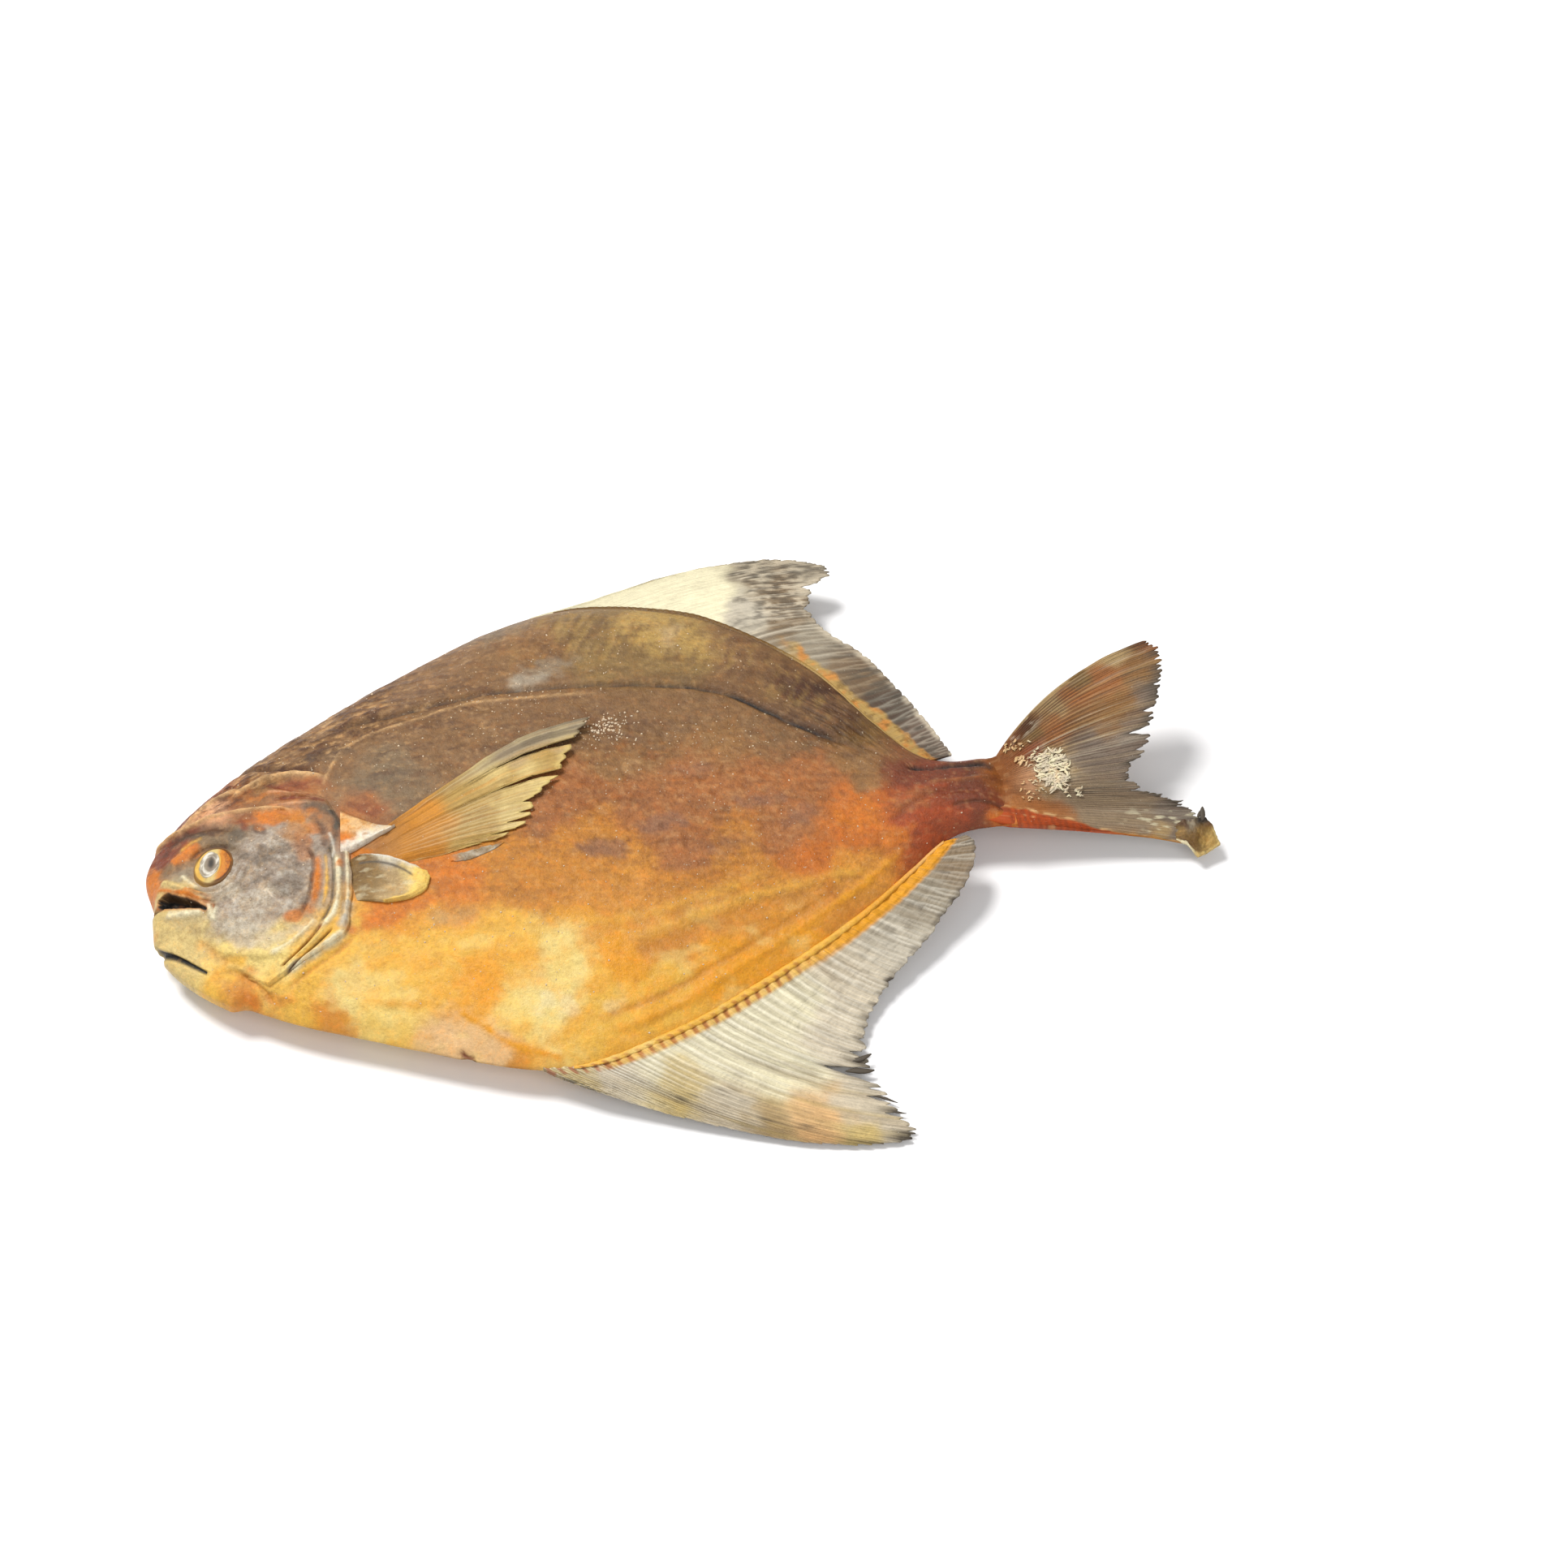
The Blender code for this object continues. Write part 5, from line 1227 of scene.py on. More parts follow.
def fin_sheet(name, points, colour, marks, finish, place, share, count, foot=FIN_THICKNESS_FOOT):
    """A fin as a thin closed sheet about its rows of points, thinning towards its margin."""
    thickness = foot + (FIN_THICKNESS_TIP - foot) * step(share, 0, 0.9)
    upper, lower = points.copy(), points.copy()
    upper[..., 2] += thickness / 2
    lower[..., 2] -= thickness / 2
    lift = np.maximum(LOWEST_FIN - lower[..., 2], 0)
    upper[..., 2] += lift
    lower[..., 2] += lift
    length = np.linalg.norm(points[-1] - points[0], axis=1)[None]
    places = np.stack([place * count, share * length], -1)
    return sheet(name, upper, lower, colour, marks, finish, places)


def edge_rays(rays, outline):
    """A back or belly fin's rays as (foot x, y, z, tip x, y, z, bow), their feet on that outline."""
    rays = np.asarray(rays, float)
    y = profile(outline, rays[:, 0])
    level = profile(KEEL, rays[:, 0])
    return np.column_stack([rays[:, 0], y, level, rays[:, 1:4], rays[:, 4] * np.sign(y)])


def with_root(points, place, share, inward):
    """The rows of a fin with one more in front of its foot, moved inward into the body."""
    rows = ((points[:1] + inward, points), (place[:1], place), (share[:1], share))
    return [np.concatenate(pair) for pair in rows]


BELLY_FIN_WASHES = (
    ("straw", 112, -76, 6), ("bone", 122, -74, 7), ("cream", 134, -70, 8), ("cream", 146, -72, 8),
    ("cream", 150, -62, 9), ("cream", 160, -58, 8), ("cream", 158, -72, 7), ("cream", 172, -60, 8),
    ("bone", 186, -52, 8), ("bone", 180, -70, 8), ("cream", 168, -80, 8), ("straw", 140, -80, 6),
    ("bone", 152, -86, 6), ("tan", 162, -90, 5), ("peach", 174, -92, 7), ("bone", 186, -90, 6),
    ("straw", 184, -99, 5), ("bone", 194, -98, 5), ("pale_grey", 200, -42, 7), ("ash", 210, -32, 6),
    ("dusk", 222, -19, 6),
)
BELLY_FIN_BLOTCHES = (
    (150.6, -83.9), (156.4, -87.5), (161.5, -92.2), (171, -95.1), (140.3, -84.6), (166, -92),
)


def belly_fin(finish):
    """The long fin under the belly: cream rays, grey skin and painted shade between them and a ragged dark
    margin.
    """
    count = BELLY_FIN_MESH[0]
    points, place, share = ray_grid(edge_rays(BELLY_FIN, BELLY), BELLY_FIN_TEARS, *BELLY_FIN_MESH)
    foot_x = np.repeat(points[:1, :, 0], len(points), 0)
    out = np.linalg.norm(points - points[:1], axis=2)
    phase = 2 * math.pi * ((foot_x - BELLY_ROPE_SPAN[0]) / BELLY_ROPE_PITCH) + 0.8 * out - 1.2
    x, y = points[..., 0], points[..., 1]
    root = step(3.8 - out, 0, 0.9)
    points[..., 2] += fold(place, share, count, 0.34) + 0.35 * noise(x, y, 12, 70)
    points[..., 2] += 0.16 * noise(place * 50, share * 22, 1.5, 69) * step(share, 0.1, 0.3)
    points[..., 2] += root * (0.3 + 0.16 * np.cos(phase))
    colour = washed(x + 3 * noise(x, y, 6, 72), y + 3 * noise(x, y, 6, 73), BELLY_FIN_WASHES)
    crest, chance = ray_crest(place, share, count), each_ray(place, count, 74)
    rear, tip = step(x + 0.5 * y, 150, 186), step(-y, 76, 92)
    # painted shade: ash and slate between the raised rays, stronger towards the foot and the rear
    grey = 0.18 + 0.26 * step(0.65 - share, 0, 0.4) + 0.12 * rear + 0.2 * chance
    lay(colour, "ash", (1 - crest) * grey)
    lay(colour, "slate", 0.2 * (1 - crest) * step(chance, 0, 0.8))
    lay(colour, "salt", 0.6 * crest * (1 - 0.3 * rear) * (1 - tip) * (0.8 + 0.4 * chance))
    streak = noise(place * 300, share * 9, 3, 75)
    lay(colour, "slate", 0.5 * step(streak, 0.25, 0.8) * step(share, 0.2, 0.6) * (0.2 + 0.8 * rear))
    lay(colour, "dusk", 0.3 * step(noise(place * 190, share * 8, 3, 76), 0.15, 0.8) * (1 - rear))
    lay(colour, "straw", 0.3 * tip * step(noise(place * 120, share * 6, 3, 67), 0.0, 0.7))
    edge = step(share / share[-1:], 0.88, 1.0)
    broken = noise(place * 300, share * 6, 3, 77)
    lay(colour, "slate", edge * (0.4 + 0.7 * broken) * step(place, 0.2, 0.3))
    hooks = round_spot(x, y, 187, -78, 5, 4) + round_spot(x, y, 197, -101, 4, 2.5)
    lay(colour, "slate", 0.9 * np.clip(hooks, 0, 1) * step(noise(place * 200, share * 9, 3, 66), -0.5, 0.3))
    front = step(0.035 - place + 0.014 * noise(share * 60, place * 200, 3, 78), 0, 0.02)
    front = front * step(noise(share * 90, place * 90, 3, 79), -0.4, 0.3) * step(share, 0.25, 0.45)
    lay(colour, "slate", 0.85 * front)
    for spot_x, spot_y in BELLY_FIN_BLOTCHES:
        blotch = round_spot(x, y, spot_x, spot_y, 4, 1.2)
        lay(colour, "slate", 0.7 * blotch * step(noise(place * 400, share * 20, 3, 62), -0.2, 0.5))
    ticks = step(-np.cos(phase) + 0.3 * chance, -0.2, 0.7) * root * step(190 - foot_x, 0, 30)
    lay(colour, "gold", 0.8 * root * step(foot_x, 114, 122))
    lay(colour, "copper", 0.65 * ticks)
    lay(colour, "brick", 0.3 * ticks * step(-np.cos(phase), 0.8, 1) * step(foot_x, 138, 150))
    lay(colour, "amber", 0.9 * step(5 - out, 0, 1.5) * step(foot_x, 170, 188))
    points, place, share = with_root(points, place, share, (0, 5.0, -1.4))
    colour = np.concatenate([colour[:1], colour])
    return fin_sheet("belly_fin", points, colour, (0.2, 1.0, 0.0, 0.3), finish, place, share, count)


BACK_FIN_WASHES = (
    ("cream", 112, 83, 8), ("cream", 128, 86, 9), ("cream", 142, 88, 9), ("cream", 156, 90, 9),
    ("cream", 165, 84, 7), ("pale_grey", 175, 78, 5), ("dusk", 186, 88, 7), ("ash", 194, 91, 6),
    ("ash", 178, 92, 5), ("dusk", 188, 74, 6), ("ash", 196, 62, 6), ("dusk", 205, 50, 7),
    ("slate", 212, 36, 6), ("smoke", 219, 24, 6),
)


def back_fin(finish):
    """The fin along the back: a cream front, a torn grey tip and a narrow grey rear with raised rays."""
    count = BACK_FIN_MESH[0]
    points, place, share = ray_grid(edge_rays(BACK_FIN, BACK), BACK_FIN_TEARS, *BACK_FIN_MESH)
    x, y = points[..., 0], points[..., 1]
    front = step(174 - x + 5 * noise(x, 2 * y, 6, 84) + 2 * noise(x, 3 * y, 2, 61), -1.5, 2)
    front = front * step(y, 66, 76)
    points[..., 2] += fold(place, share, count, 0.34) * (1 - 0.85 * front) + 0.35 * noise(x, y, 10, 80)
    colour = washed(x + 3 * noise(x, y, 6, 82), y + 3 * noise(x, y, 6, 83), BACK_FIN_WASHES)
    crest, chance = ray_crest(place, share, count), each_ray(place, count, 85)
    rear = 1 - front
    tail_end = step(x, 192, 206)
    # painted shade: slate and bark between the raised rays of the rear, most towards the tail
    lay(colour, "slate", rear * (1 - crest) * (0.15 + 0.35 * tail_end + 0.3 * chance))
    lay(colour, "bark", 0.45 * tail_end * (1 - crest))
    lay(colour, "pale_grey", 0.6 * rear * crest * (0.8 + 0.5 * chance) * (1 - 0.5 * tail_end))
    speckled = rear * step(y, 66, 78)
    flecks = noise(0.8 * x + 0.5 * y, 2.0 * y, 1.8, 86)
    lay(colour, "slate", 0.6 * speckled * step(flecks, -0.1, 0.5))
    lay(colour, "bone", 0.6 * speckled * step(-flecks, 0.0, 0.5))
    lines = noise(place * 260, share * 6, 3, 87)
    lay(colour, "slate", 0.7 * tail_end * step(lines, 0.0, 0.6) * step(share, 0.15, 0.4))
    edge = step(share / share[-1:], 0.84, 0.97)
    lay(colour, "bone", 0.7 * edge * rear * step(noise(place * 160, share, 3, 89), -0.5, 0.4))
    stripe = step(0.3 - share + 0.16 * noise(x, y, 4, 65), -0.06, 0.12) * step(x, 181, 190)
    lay(colour, "moss", 0.9 * stripe)
    lay(colour, "flame", 0.6 * stripe * step(noise(x, y, 3.4, 64), -0.2, 0.6))
    lay(colour, "olive_brown", 0.6 * stripe * step(noise(x, y, 1.8, 60), 0.2, 0.7))
    spots = step(noise(x, y, 2.0, 88), 0.35, 0.8) * step(share, 0.5, 0.9) * front
    lay(colour, "tan", 0.4 * spots)
    rim = front * step(share / share[-1:], 0.9, 0.97)
    lay(colour, "olive", 0.6 * rim * step(noise(place * 200, share * 9, 3, 63), 0.0, 0.5))
    points, place, share = with_root(points, place, share, (0, -5.0, 0))
    colour = np.concatenate([colour[:1], colour])
    return fin_sheet("back_fin", points, colour, (0.2, 0.8, 0.0, 0.3), finish, place, share, count)


TAIL_WASHES = (
    ("olive", 247, 15, 4), ("tan", 256, 23, 4), ("olive", 265, 30, 4), ("tan", 275, 35, 4),
    ("red_brown", 285, 35, 4), ("copper", 248, 11, 4), ("rust", 256, 17, 5), ("rust", 264, 23, 5),
    ("rust", 272, 28, 5), ("brown", 281, 29, 6), ("smoke", 284, 22, 5), ("brown", 263, 17, 5),
    ("brown", 272, 17, 6), ("smoke", 264, 9, 6), ("smoke", 276, 9, 6), ("smoke", 266, 3, 6),
    ("smoke", 272, 1, 4), ("pink", 247, 2, 4), ("tan", 254, 3, 6), ("taupe", 258, -3, 6),
    ("rust", 247, -6, 4), ("rust", 252, -8, 4), ("taupe", 264, -7, 7), ("taupe", 273, -10, 6),
    ("smoke", 284, -12, 5), ("taupe", 264, -12, 5), ("tan", 280, -15, 3), ("flame", 247, -12.6, 3),
    ("flame", 257, -15.4, 3), ("honey", 268, -17, 3), ("honey", 279, -18, 3),
)


def tail_rays():
    """The tail fin's rays as (foot x, y, z, tip x, y, z, bow). All their feet are at the tail root."""
    rays = np.asarray(TAIL_FIN, float)
    foot_x = np.full(len(rays), TAIL_FOOT_X)
    return np.column_stack([foot_x, rays[:, 0], profile(KEEL, foot_x), rays[:, 1:]])


def tail_fin(finish):
    """The forked tail fin, its upper lobe raised, its rays fanned and split. Gives its grid of points."""
    count = TAIL_FIN_MESH[0]
    points, place, share = ray_grid(tail_rays(), TAIL_FIN_TEARS, *TAIL_FIN_MESH)
    x, y = points[..., 0], points[..., 1]
    upper, lower = step(0.42 - place, 0, 0.1), step(place, 0.72, 0.84)
    points[..., 2] += fold(place, share, count, 0.3) * (1 - 0.5 * lower) + 0.5 * share * noise(x, y, 10, 90)
    colour = washed(x + 2 * noise(x, y, 5, 92), y + 2 * noise(x, y, 5, 93), TAIL_WASHES)
    crest, chance = ray_crest(place, share, count), each_ray(place, count, 94)
    near = step(0.8 - share, 0, 0.4)
    lit = step(noise(place * 40, share, 4, 59) + 0.3 * chance, -0.1, 0.5)
    lay(colour, "copper", 0.75 * upper * near * lit * step(place, 0.05, 0.1))
    # painted shade: bark between the raised rays, most near the foot of the upper lobe
    lay(colour, "bark", (1 - crest) * (0.28 + 0.4 * upper * near + 0.2 * chance) * (1 - 0.5 * lower))
    lay(colour, "tan", 0.4 * crest * step(-chance, 0.2, 0.8) * (0.5 + 0.5 * upper))
    streak = noise(place * 220, share * 9, 3, 96)
    lay(colour, "slate", 0.45 * step(streak, 0.2, 0.8) * step(share, 0.3, 0.7) * (1 - 0.5 * lower))
    lay(colour, "pale_grey", 0.25 * step(-streak, 0.3, 0.9) * step(share, 0.3, 0.8))
    pale_lines = step(noise(place * 260, share * 1.6, 3, 48), 0.4, 0.8)
    pale_lines = pale_lines * step(share, 0.1, 0.25) * step(0.85 - share, 0, 0.2)
    lay(colour, "bone", 0.6 * pale_lines * step(place, 0.1, 0.16) * step(0.55 - place, 0, 0.1))
    crumbly = step(0.16 - place, 0, 0.06) * step(0.34 - share, 0, 0.12)
    lay(colour, "bark", 0.85 * crumbly)
    lay(colour, "bone", 0.7 * crumbly * step(noise(x, y, 1.5, 49), 0.1, 0.5))
    wisps = noise(place * 500, share * 5, 3, 58)
    between_lobes = np.exp(-(((place - 0.62) / 0.07) ** 2)) * step(share, 0.4, 0.6)
    lay(colour, "slate", 0.85 * between_lobes * step(wisps, 0.0, 0.5))
    flecks = lower * step(noise(x, 3 * y, 2.2, 97), 0.35, 0.7)
    flecks = flecks * step(share, 0.5, 0.7) * step(0.93 - place, 0, 0.05)
    lay(colour, "cream", 0.7 * flecks)
    mat = round_spot(x, y, 252.5, 3.6, 4.4, 5.8)
    lay(colour, "bone", 0.9 * mat * step(noise(x, y, 2, 56), -0.4, 0.4))
    edge = step(share / share[-1:], 0.9, 1.0)
    lay(colour, "slate", 0.8 * edge * step(noise(place * 90, share, 3, 98), -0.5, 0.4))
    front_rim = step(0.03 - place, 0, 0.02) * step(noise(share * 60, place * 90, 3, 99), -0.2, 0.3)
    lay(colour, "tan", 0.85 * front_rim * step(0.8 - share, 0, 0.2))
    lay(colour, "bark", 0.6 * step(0.05 - place, 0, 0.04) * step(share, 0.8, 0.92))
    colour = skin_joined(colour, x, y, share, 0.26)
    inner = 0.77 + 0.19 * step(share, -0.1, 0.7) + 0.012 * noise(x, y, 3, 55)
    rim = step(place, inner, inner + 0.02)
    ribs = step(np.sin(3.4 * x + 0.6 * y) + noise(x, y, 2, 54), -0.1, 0.9)
    lay(colour, "blaze", rim * step(0.95 - share, 0, 0.3))
    lay(colour, "brick", 0.55 * rim * ribs * step(0.6 - share, 0, 0.3))
    lay(colour, "peach", 0.5 * rim * step(noise(x, y, 1.7, 53), 0.4, 0.8) * step(0.4 - share, 0, 0.2))
    lay(colour, "honey", 0.8 * rim * step(share, 0.5, 0.8))
    lip = np.exp(-(((place - inner) / 0.014) ** 2))
    lay(colour, "peach", 0.85 * lip * step(noise(x, y, 2, 57), -0.5, 0.3))
    root = points[:1] * (0, TAIL_ROOT_WIDTH, 1) + (TAIL_ROOT_X, 0, 0)
    grid = np.concatenate([root, points])
    place, share = np.concatenate([place[:1], place]), np.concatenate([share[:1], share])
    colour = np.concatenate([colour[:1], colour])
    fin_sheet("tail_fin", grid, colour, (0.2, 1.0, 0.1, 0.3), finish, place, share, count, 1.9)
    return points


def folded_tip(finish):
    """The folded tip of the tail's lower lobe: a crumpled olive and gold sheet with a cream rim.

    A point at (u, v) lies on the straight line between the two edges, raised by 0.9 sin(pi u) sin(pi v) and
    by noise, and pushed out at the free side by 4 v (1 - v) u^3 times its swelling.
    """
    rows, columns = 48, 60
    v, u = np.linspace(0, 1, rows)[:, None], np.linspace(0, 1, columns)[None]
    knots = np.linspace(0, 1, len(FOLD_TOP))
    top = np.stack([np.interp(u[0], knots, axis) for axis in zip(*FOLD_TOP)], -1)
    bottom = np.stack([np.interp(u[0], knots, axis) for axis in zip(*FOLD_BOTTOM)], -1)
    points = top[None] * (1 - v[..., None]) + bottom[None] * v[..., None]
    points[..., 0] += FOLD_SIDE * 4 * v * (1 - v) * u**3
    crumple = noise(9 * u + 0 * v, 7 * v + 0 * u, 2.4, 130, 4)
    points[..., 2] += 0.9 * np.sin(math.pi * u) * np.sin(math.pi * v) + 0.8 * crumple
    points[..., :2] += 0.25 * crumple[..., None]
    washes = (("olive", 286, -15, 2.4), ("ash", 289, -14, 2.4), ("olive_brown", 292, -15, 3),
              ("moss", 294.4, -18, 3), ("olive_brown", 289, -18.5, 3), ("olive", 291, -21, 2))
    colour = washed(points[..., 0], points[..., 1], washes)
    lay(colour, "bark", 0.8 * step(crumple, -0.1, 0.6))
    lay(colour, "moss", 0.5 * step(-crumple, 0.3, 0.8))
    lay(colour, "soot", 0.85 * step(u, 0.55, 0.75) * step(0.3 - v, 0, 0.2))
    low_rim = step(v + 0.05 * crumple, 0.88, 0.96)
    side_rim = step(u + 0.04 * crumple, 0.93, 0.98) * step(v, 0.3, 0.5)
    lay(colour, "straw", 0.85 * np.maximum(low_rim, side_rim))
    lay(colour, "cream", 0.8 * low_rim * step(0.5 - u, 0, 0.2))
    upper, lower = points.copy(), points.copy()
    upper[..., 2] += 0.3
    lower[..., 2] -= 0.3
    return sheet("folded_tail_tip", upper, lower, colour, (0.1, 0.2, 0.2, 0.6), finish)


SIDE_FIN_WASHES = (
    ("orange", 63, -8, 5), ("orange", 71, -4, 5), ("honey", 80, 1, 6), ("moss", 88, 8, 6),
    ("straw", 96, 14, 5), ("moss", 100, 8, 7), ("moss", 92, 0, 7), ("tan", 104, 19, 5),
    ("tan", 113, 24, 5), ("tan", 122, 29, 4), ("straw", 108, 12, 5), ("moss", 112, 17, 4),
    ("straw", 100, -2, 5), ("moss", 90, -5, 5), ("orange", 76, -8, 5),
)


def side_fin(finish):
    """The split side fin: it lies back along the flank and lifts off it towards its torn margin."""
    count = SIDE_FIN_MESH[0]
    rays = np.asarray(SIDE_FIN, float)
    foot_x = np.linspace(*SIDE_FIN_FOOT_X, len(rays))
    table = np.column_stack([foot_x, rays[:, 0], 0 * foot_x, rays[:, 1:]])
    points, place, share = ray_grid(table, SIDE_FIN_TEARS, *SIDE_FIN_MESH, late=1.0)
    away = np.linalg.norm(points - points[:1], axis=2)
    away = away / away.max()
    x, y = points[..., 0], points[..., 1]
    relief = skin(x, y)[0]
    level = skin_top(x, y) + relief - 0.35 + (SIDE_FIN_LIFT + 0.35) * away * (1 - SIDE_FIN_SETTLE * place)
    spread_out = step(share, 0.1, 0.4)
    points[..., 2] = level + fold(place, share, count, 0.12) * spread_out + 0.4 * away * noise(x, y, 9, 100)
    colour = washed(x + 2 * noise(x, y, 5, 102), y + 2 * noise(x, y, 5, 103), SIDE_FIN_WASHES)
    crest, chance = ray_crest(place, share, count), each_ray(place, count, 104)
    # painted shade: brown between the raised rays where they spread out
    lay(colour, "brown", spread_out * (1 - crest) * (0.16 + 0.12 * chance))
    lay(colour, "cream", 0.2 * spread_out * crest * step(chance, 0, 0.8))
    streak = noise(place * 120, share * 8, 3, 106)
    lay(colour, "brown", 0.5 * step(streak, 0.3, 0.9) * step(share, 0.2, 0.5))
    lay(colour, "honey", 0.35 * step(-streak, 0.3, 0.8))
    lay(colour, "straw", 0.5 * step(noise(x, y, 6, 107), 0.1, 0.7) * step(share, 0.4, 0.7))
    lobe = step(0.17 - place + 0.03 * streak, 0, 0.05)
    lay(colour, "ash", 0.6 * lobe * step(share, 0.35, 0.7))
    lay(colour, "slate", 0.5 * lobe * step(streak, 0.0, 0.7) * step(share, 0.5, 0.8))
    edge = step(share / share[-1:], 0.95, 1.0)
    lay(colour, "lemon", 0.5 * edge * step(place, 0.1, 0.2))
    colour = skin_joined(colour, x, y, share, 0.3)
    return fin_sheet("side_fin", points, colour, (0.2, 0.6, 0.3, 0.3), finish, place, share, count, 0.9)


def ribbons(paths, width, thickness):
    """Flat ribbons along paths (count, steps, 3), with eight-sided sections that thin towards both ends.

    At share t of a path the half width is width * sin(pi t)^0.6, across the path and level.
    """
    count, steps = paths.shape[:2]
    taper = np.sin(math.pi * np.clip(np.linspace(0, 1, steps), 0.03, 0.97))[None, :, None] ** 0.6
    side = np.cross(np.gradient(paths, axis=1), (0, 0, 1.0))
    side = side / np.maximum(np.linalg.norm(side, axis=2, keepdims=True), SMALL)
    turn = np.linspace(0, 2 * math.pi, 8, endpoint=False)
    reach = (width[:, None, None] * taper * np.cos(turn))[..., None]
    depth = (thickness[:, None, None] * taper * np.sin(turn))[..., None]
    grid = paths[:, :, None] + side[:, :, None] * reach + depth * np.array((0, 0, 1.0))
    points = np.concatenate([grid.reshape(count, -1, 3), grid[:, [0, -1]].mean(2)], 1)
    _, faces = turned_ends(grid[0])
    starts = points.shape[1] * np.arange(count)[:, None, None]
    return points, [(group[None] + starts).reshape(-1, group.shape[1]) for group in faces]


def on_grid(grid, x, y):
    """The height of the grid's nearest point to each place."""
    flat = grid.reshape(-1, 3)
    away = (flat[None, :, 0] - x.ravel()[:, None]) ** 2 + (flat[None, :, 1] - y.ravel()[:, None]) ** 2
    return flat[away.argmin(1), 2].reshape(x.shape)


STRIPS = 230
STRIP_STEPS = 12
# Where the strips lie: (x, y, reach x, reach y, shortest, longest, share of the strips)
STRIP_PATCHES = ((252.8, 3.6, 4.0, 6.0, 1.8, 4.6, 0.66), (247, 8.4, 4, 3.4, 0.8, 2.4, 0.1),
                 (246, -1.6, 4.4, 4, 0.5, 1.5, 0.1), (257.4, -3.6, 3.4, 1.6, 0.9, 2.0, 0.04),
                 (243.4, 13.2, 4.4, 1.6, 0.5, 1.5, 0.1))
FAN_MIDDLE = (226.0, 0.0)


def torn_strips(grid, finish):
    """Thin pale strips of torn skin on the tail's foot, one piece: ribbons that lie nearly along the rays.

    A strip bends by its own bow times sin(pi t), waves by 0.1 of its length, and lifts a little midway.
    """
    rng = np.random.default_rng(5)
    patches = np.array(STRIP_PATCHES)
    patch = rng.choice(len(patches), STRIPS, p=patches[:, 6])
    middle_x, middle_y, reach_x, reach_y, shortest, longest, _ = patches[patch].T
    radius, turn = np.sqrt(rng.uniform(0, 1, STRIPS)), rng.uniform(0, 2 * math.pi, STRIPS)
    x, y = middle_x + reach_x * radius * np.cos(turn), middle_y + reach_y * radius * np.sin(turn)
    angle = np.arctan2(y - FAN_MIDDLE[1], x - FAN_MIDDLE[0]) + rng.normal(0, 0.5, STRIPS)
    length = shortest + (longest - shortest) * rng.uniform(0, 1, STRIPS)
    bow = rng.uniform(-0.2, 0.2, STRIPS) * length
    t = np.linspace(0, 1, STRIP_STEPS)[None]
    ahead = length[:, None] * (t - 0.5)
    wave = 0.1 * length[:, None] * np.sin(2 * math.pi * t + turn[:, None])
    aside = bow[:, None] * np.sin(math.pi * t) + wave
    px = x[:, None] + ahead * np.cos(angle)[:, None] - aside * np.sin(angle)[:, None]
    py = y[:, None] + ahead * np.sin(angle)[:, None] + aside * np.cos(angle)[:, None]
    lift = rng.uniform(0.95, 1.45, STRIPS)[:, None] + 0.2 * np.sin(math.pi * t)
    paths = np.stack([px, py, on_grid(grid, px, py) + lift], -1)
    width = rng.uniform(0.26, 0.5, STRIPS) * np.minimum(1, 0.4 + 0.25 * length)
    points, faces = ribbons(paths, width, 0.26 * width)
    tone = np.repeat(rng.uniform(0, 1, STRIPS)[:, None], points.shape[1], 1)
    near = np.repeat(step(x, 243, 250)[:, None], points.shape[1], 1)
    colour = blend(plain("cream", tone.shape), "bone", step(tone, 0.2, 0.7))
    lay(colour, "peach", 0.9 * (1 - near))
    lay(colour, "tan", 0.6 * step(tone, 0.8, 0.95))
    return piece("torn_strips", points, faces, colour, NO_MARKS, finish)


# Dark frayed points: (base x, y, z, tip x, y, z, half width)
DARK_POINTS = (
    (292.4, -13.4, 8.6, 293.2, -9.6, 9.6, 0.8), (291.2, -12.4, 8.8, 292.2, -10.8, 9.4, 0.5),
    (278.6, -6.2, 13.4, 282, -6.6, 13.4, 0.4),
    (284, -8.6, 12.2, 287.6, -8.4, 12.2, 0.35), (184, -76.6, 2.6, 190.4, -75.2, 3.4, 0.8),
    (183, -79.2, 2.4, 190.6, -79.6, 2.6, 0.9), (188, -86.4, 1.6, 195.4, -89.6, 1.6, 0.4),
    (190, -90.4, 1.6, 197.2, -93.4, 1.6, 0.4),
)


def dark_points(finish):
    """The dark frayed points on the margins of the tail and the belly fin, one piece of tapered ribbons."""
    table = np.array(DARK_POINTS)
    t = np.linspace(0, 1, STRIP_STEPS)[None, :, None]
    base, tip = table[:, None, :3], table[:, None, 3:6]
    paths = base * (1 - t) + tip * t
    paths[..., 1] += 0.25 * np.sin(5 * t[..., 0] + table[:, :1])
    points, faces = ribbons(paths, table[:, 6], 0.35 * table[:, 6] + 0.08)
    return piece("dark_points", points, faces, plain("slate", points.shape[:2]), NO_MARKS, finish)


FRINGE_FOOT = ((83.4, -10.6), (88, -9.6), (94, -8.8), (98.2, -8.2))
FRINGE_EDGE = ((84.4, -13.6), (89, -13.6), (94.8, -11.6), (99, -9))


def fringe_paint(x, y, along, v, colour):
    """The torn lower skin of the side fin: grey with pale, olive and tan streaks, faded at its ends."""
    fade = step(along, 0, 0.25) * step(1 - along, 0, 0.2)
    lay(colour, "ash", 0.9 * fade)
    lay(colour, "pale_grey", 0.6 * fade * step(noise(9 * along, 2 * v, 1, 110), -0.2, 0.6))
    lay(colour, "olive", 0.35 * step(noise(14 * along, 3 * v, 1, 111), 0.0, 0.5))
    return blend(colour, "tan", 0.5 * fade * step(noise(11 * along, 3 * v, 1, 112), 0.2, 0.7))


# ---------------------------------------------------------------- salt

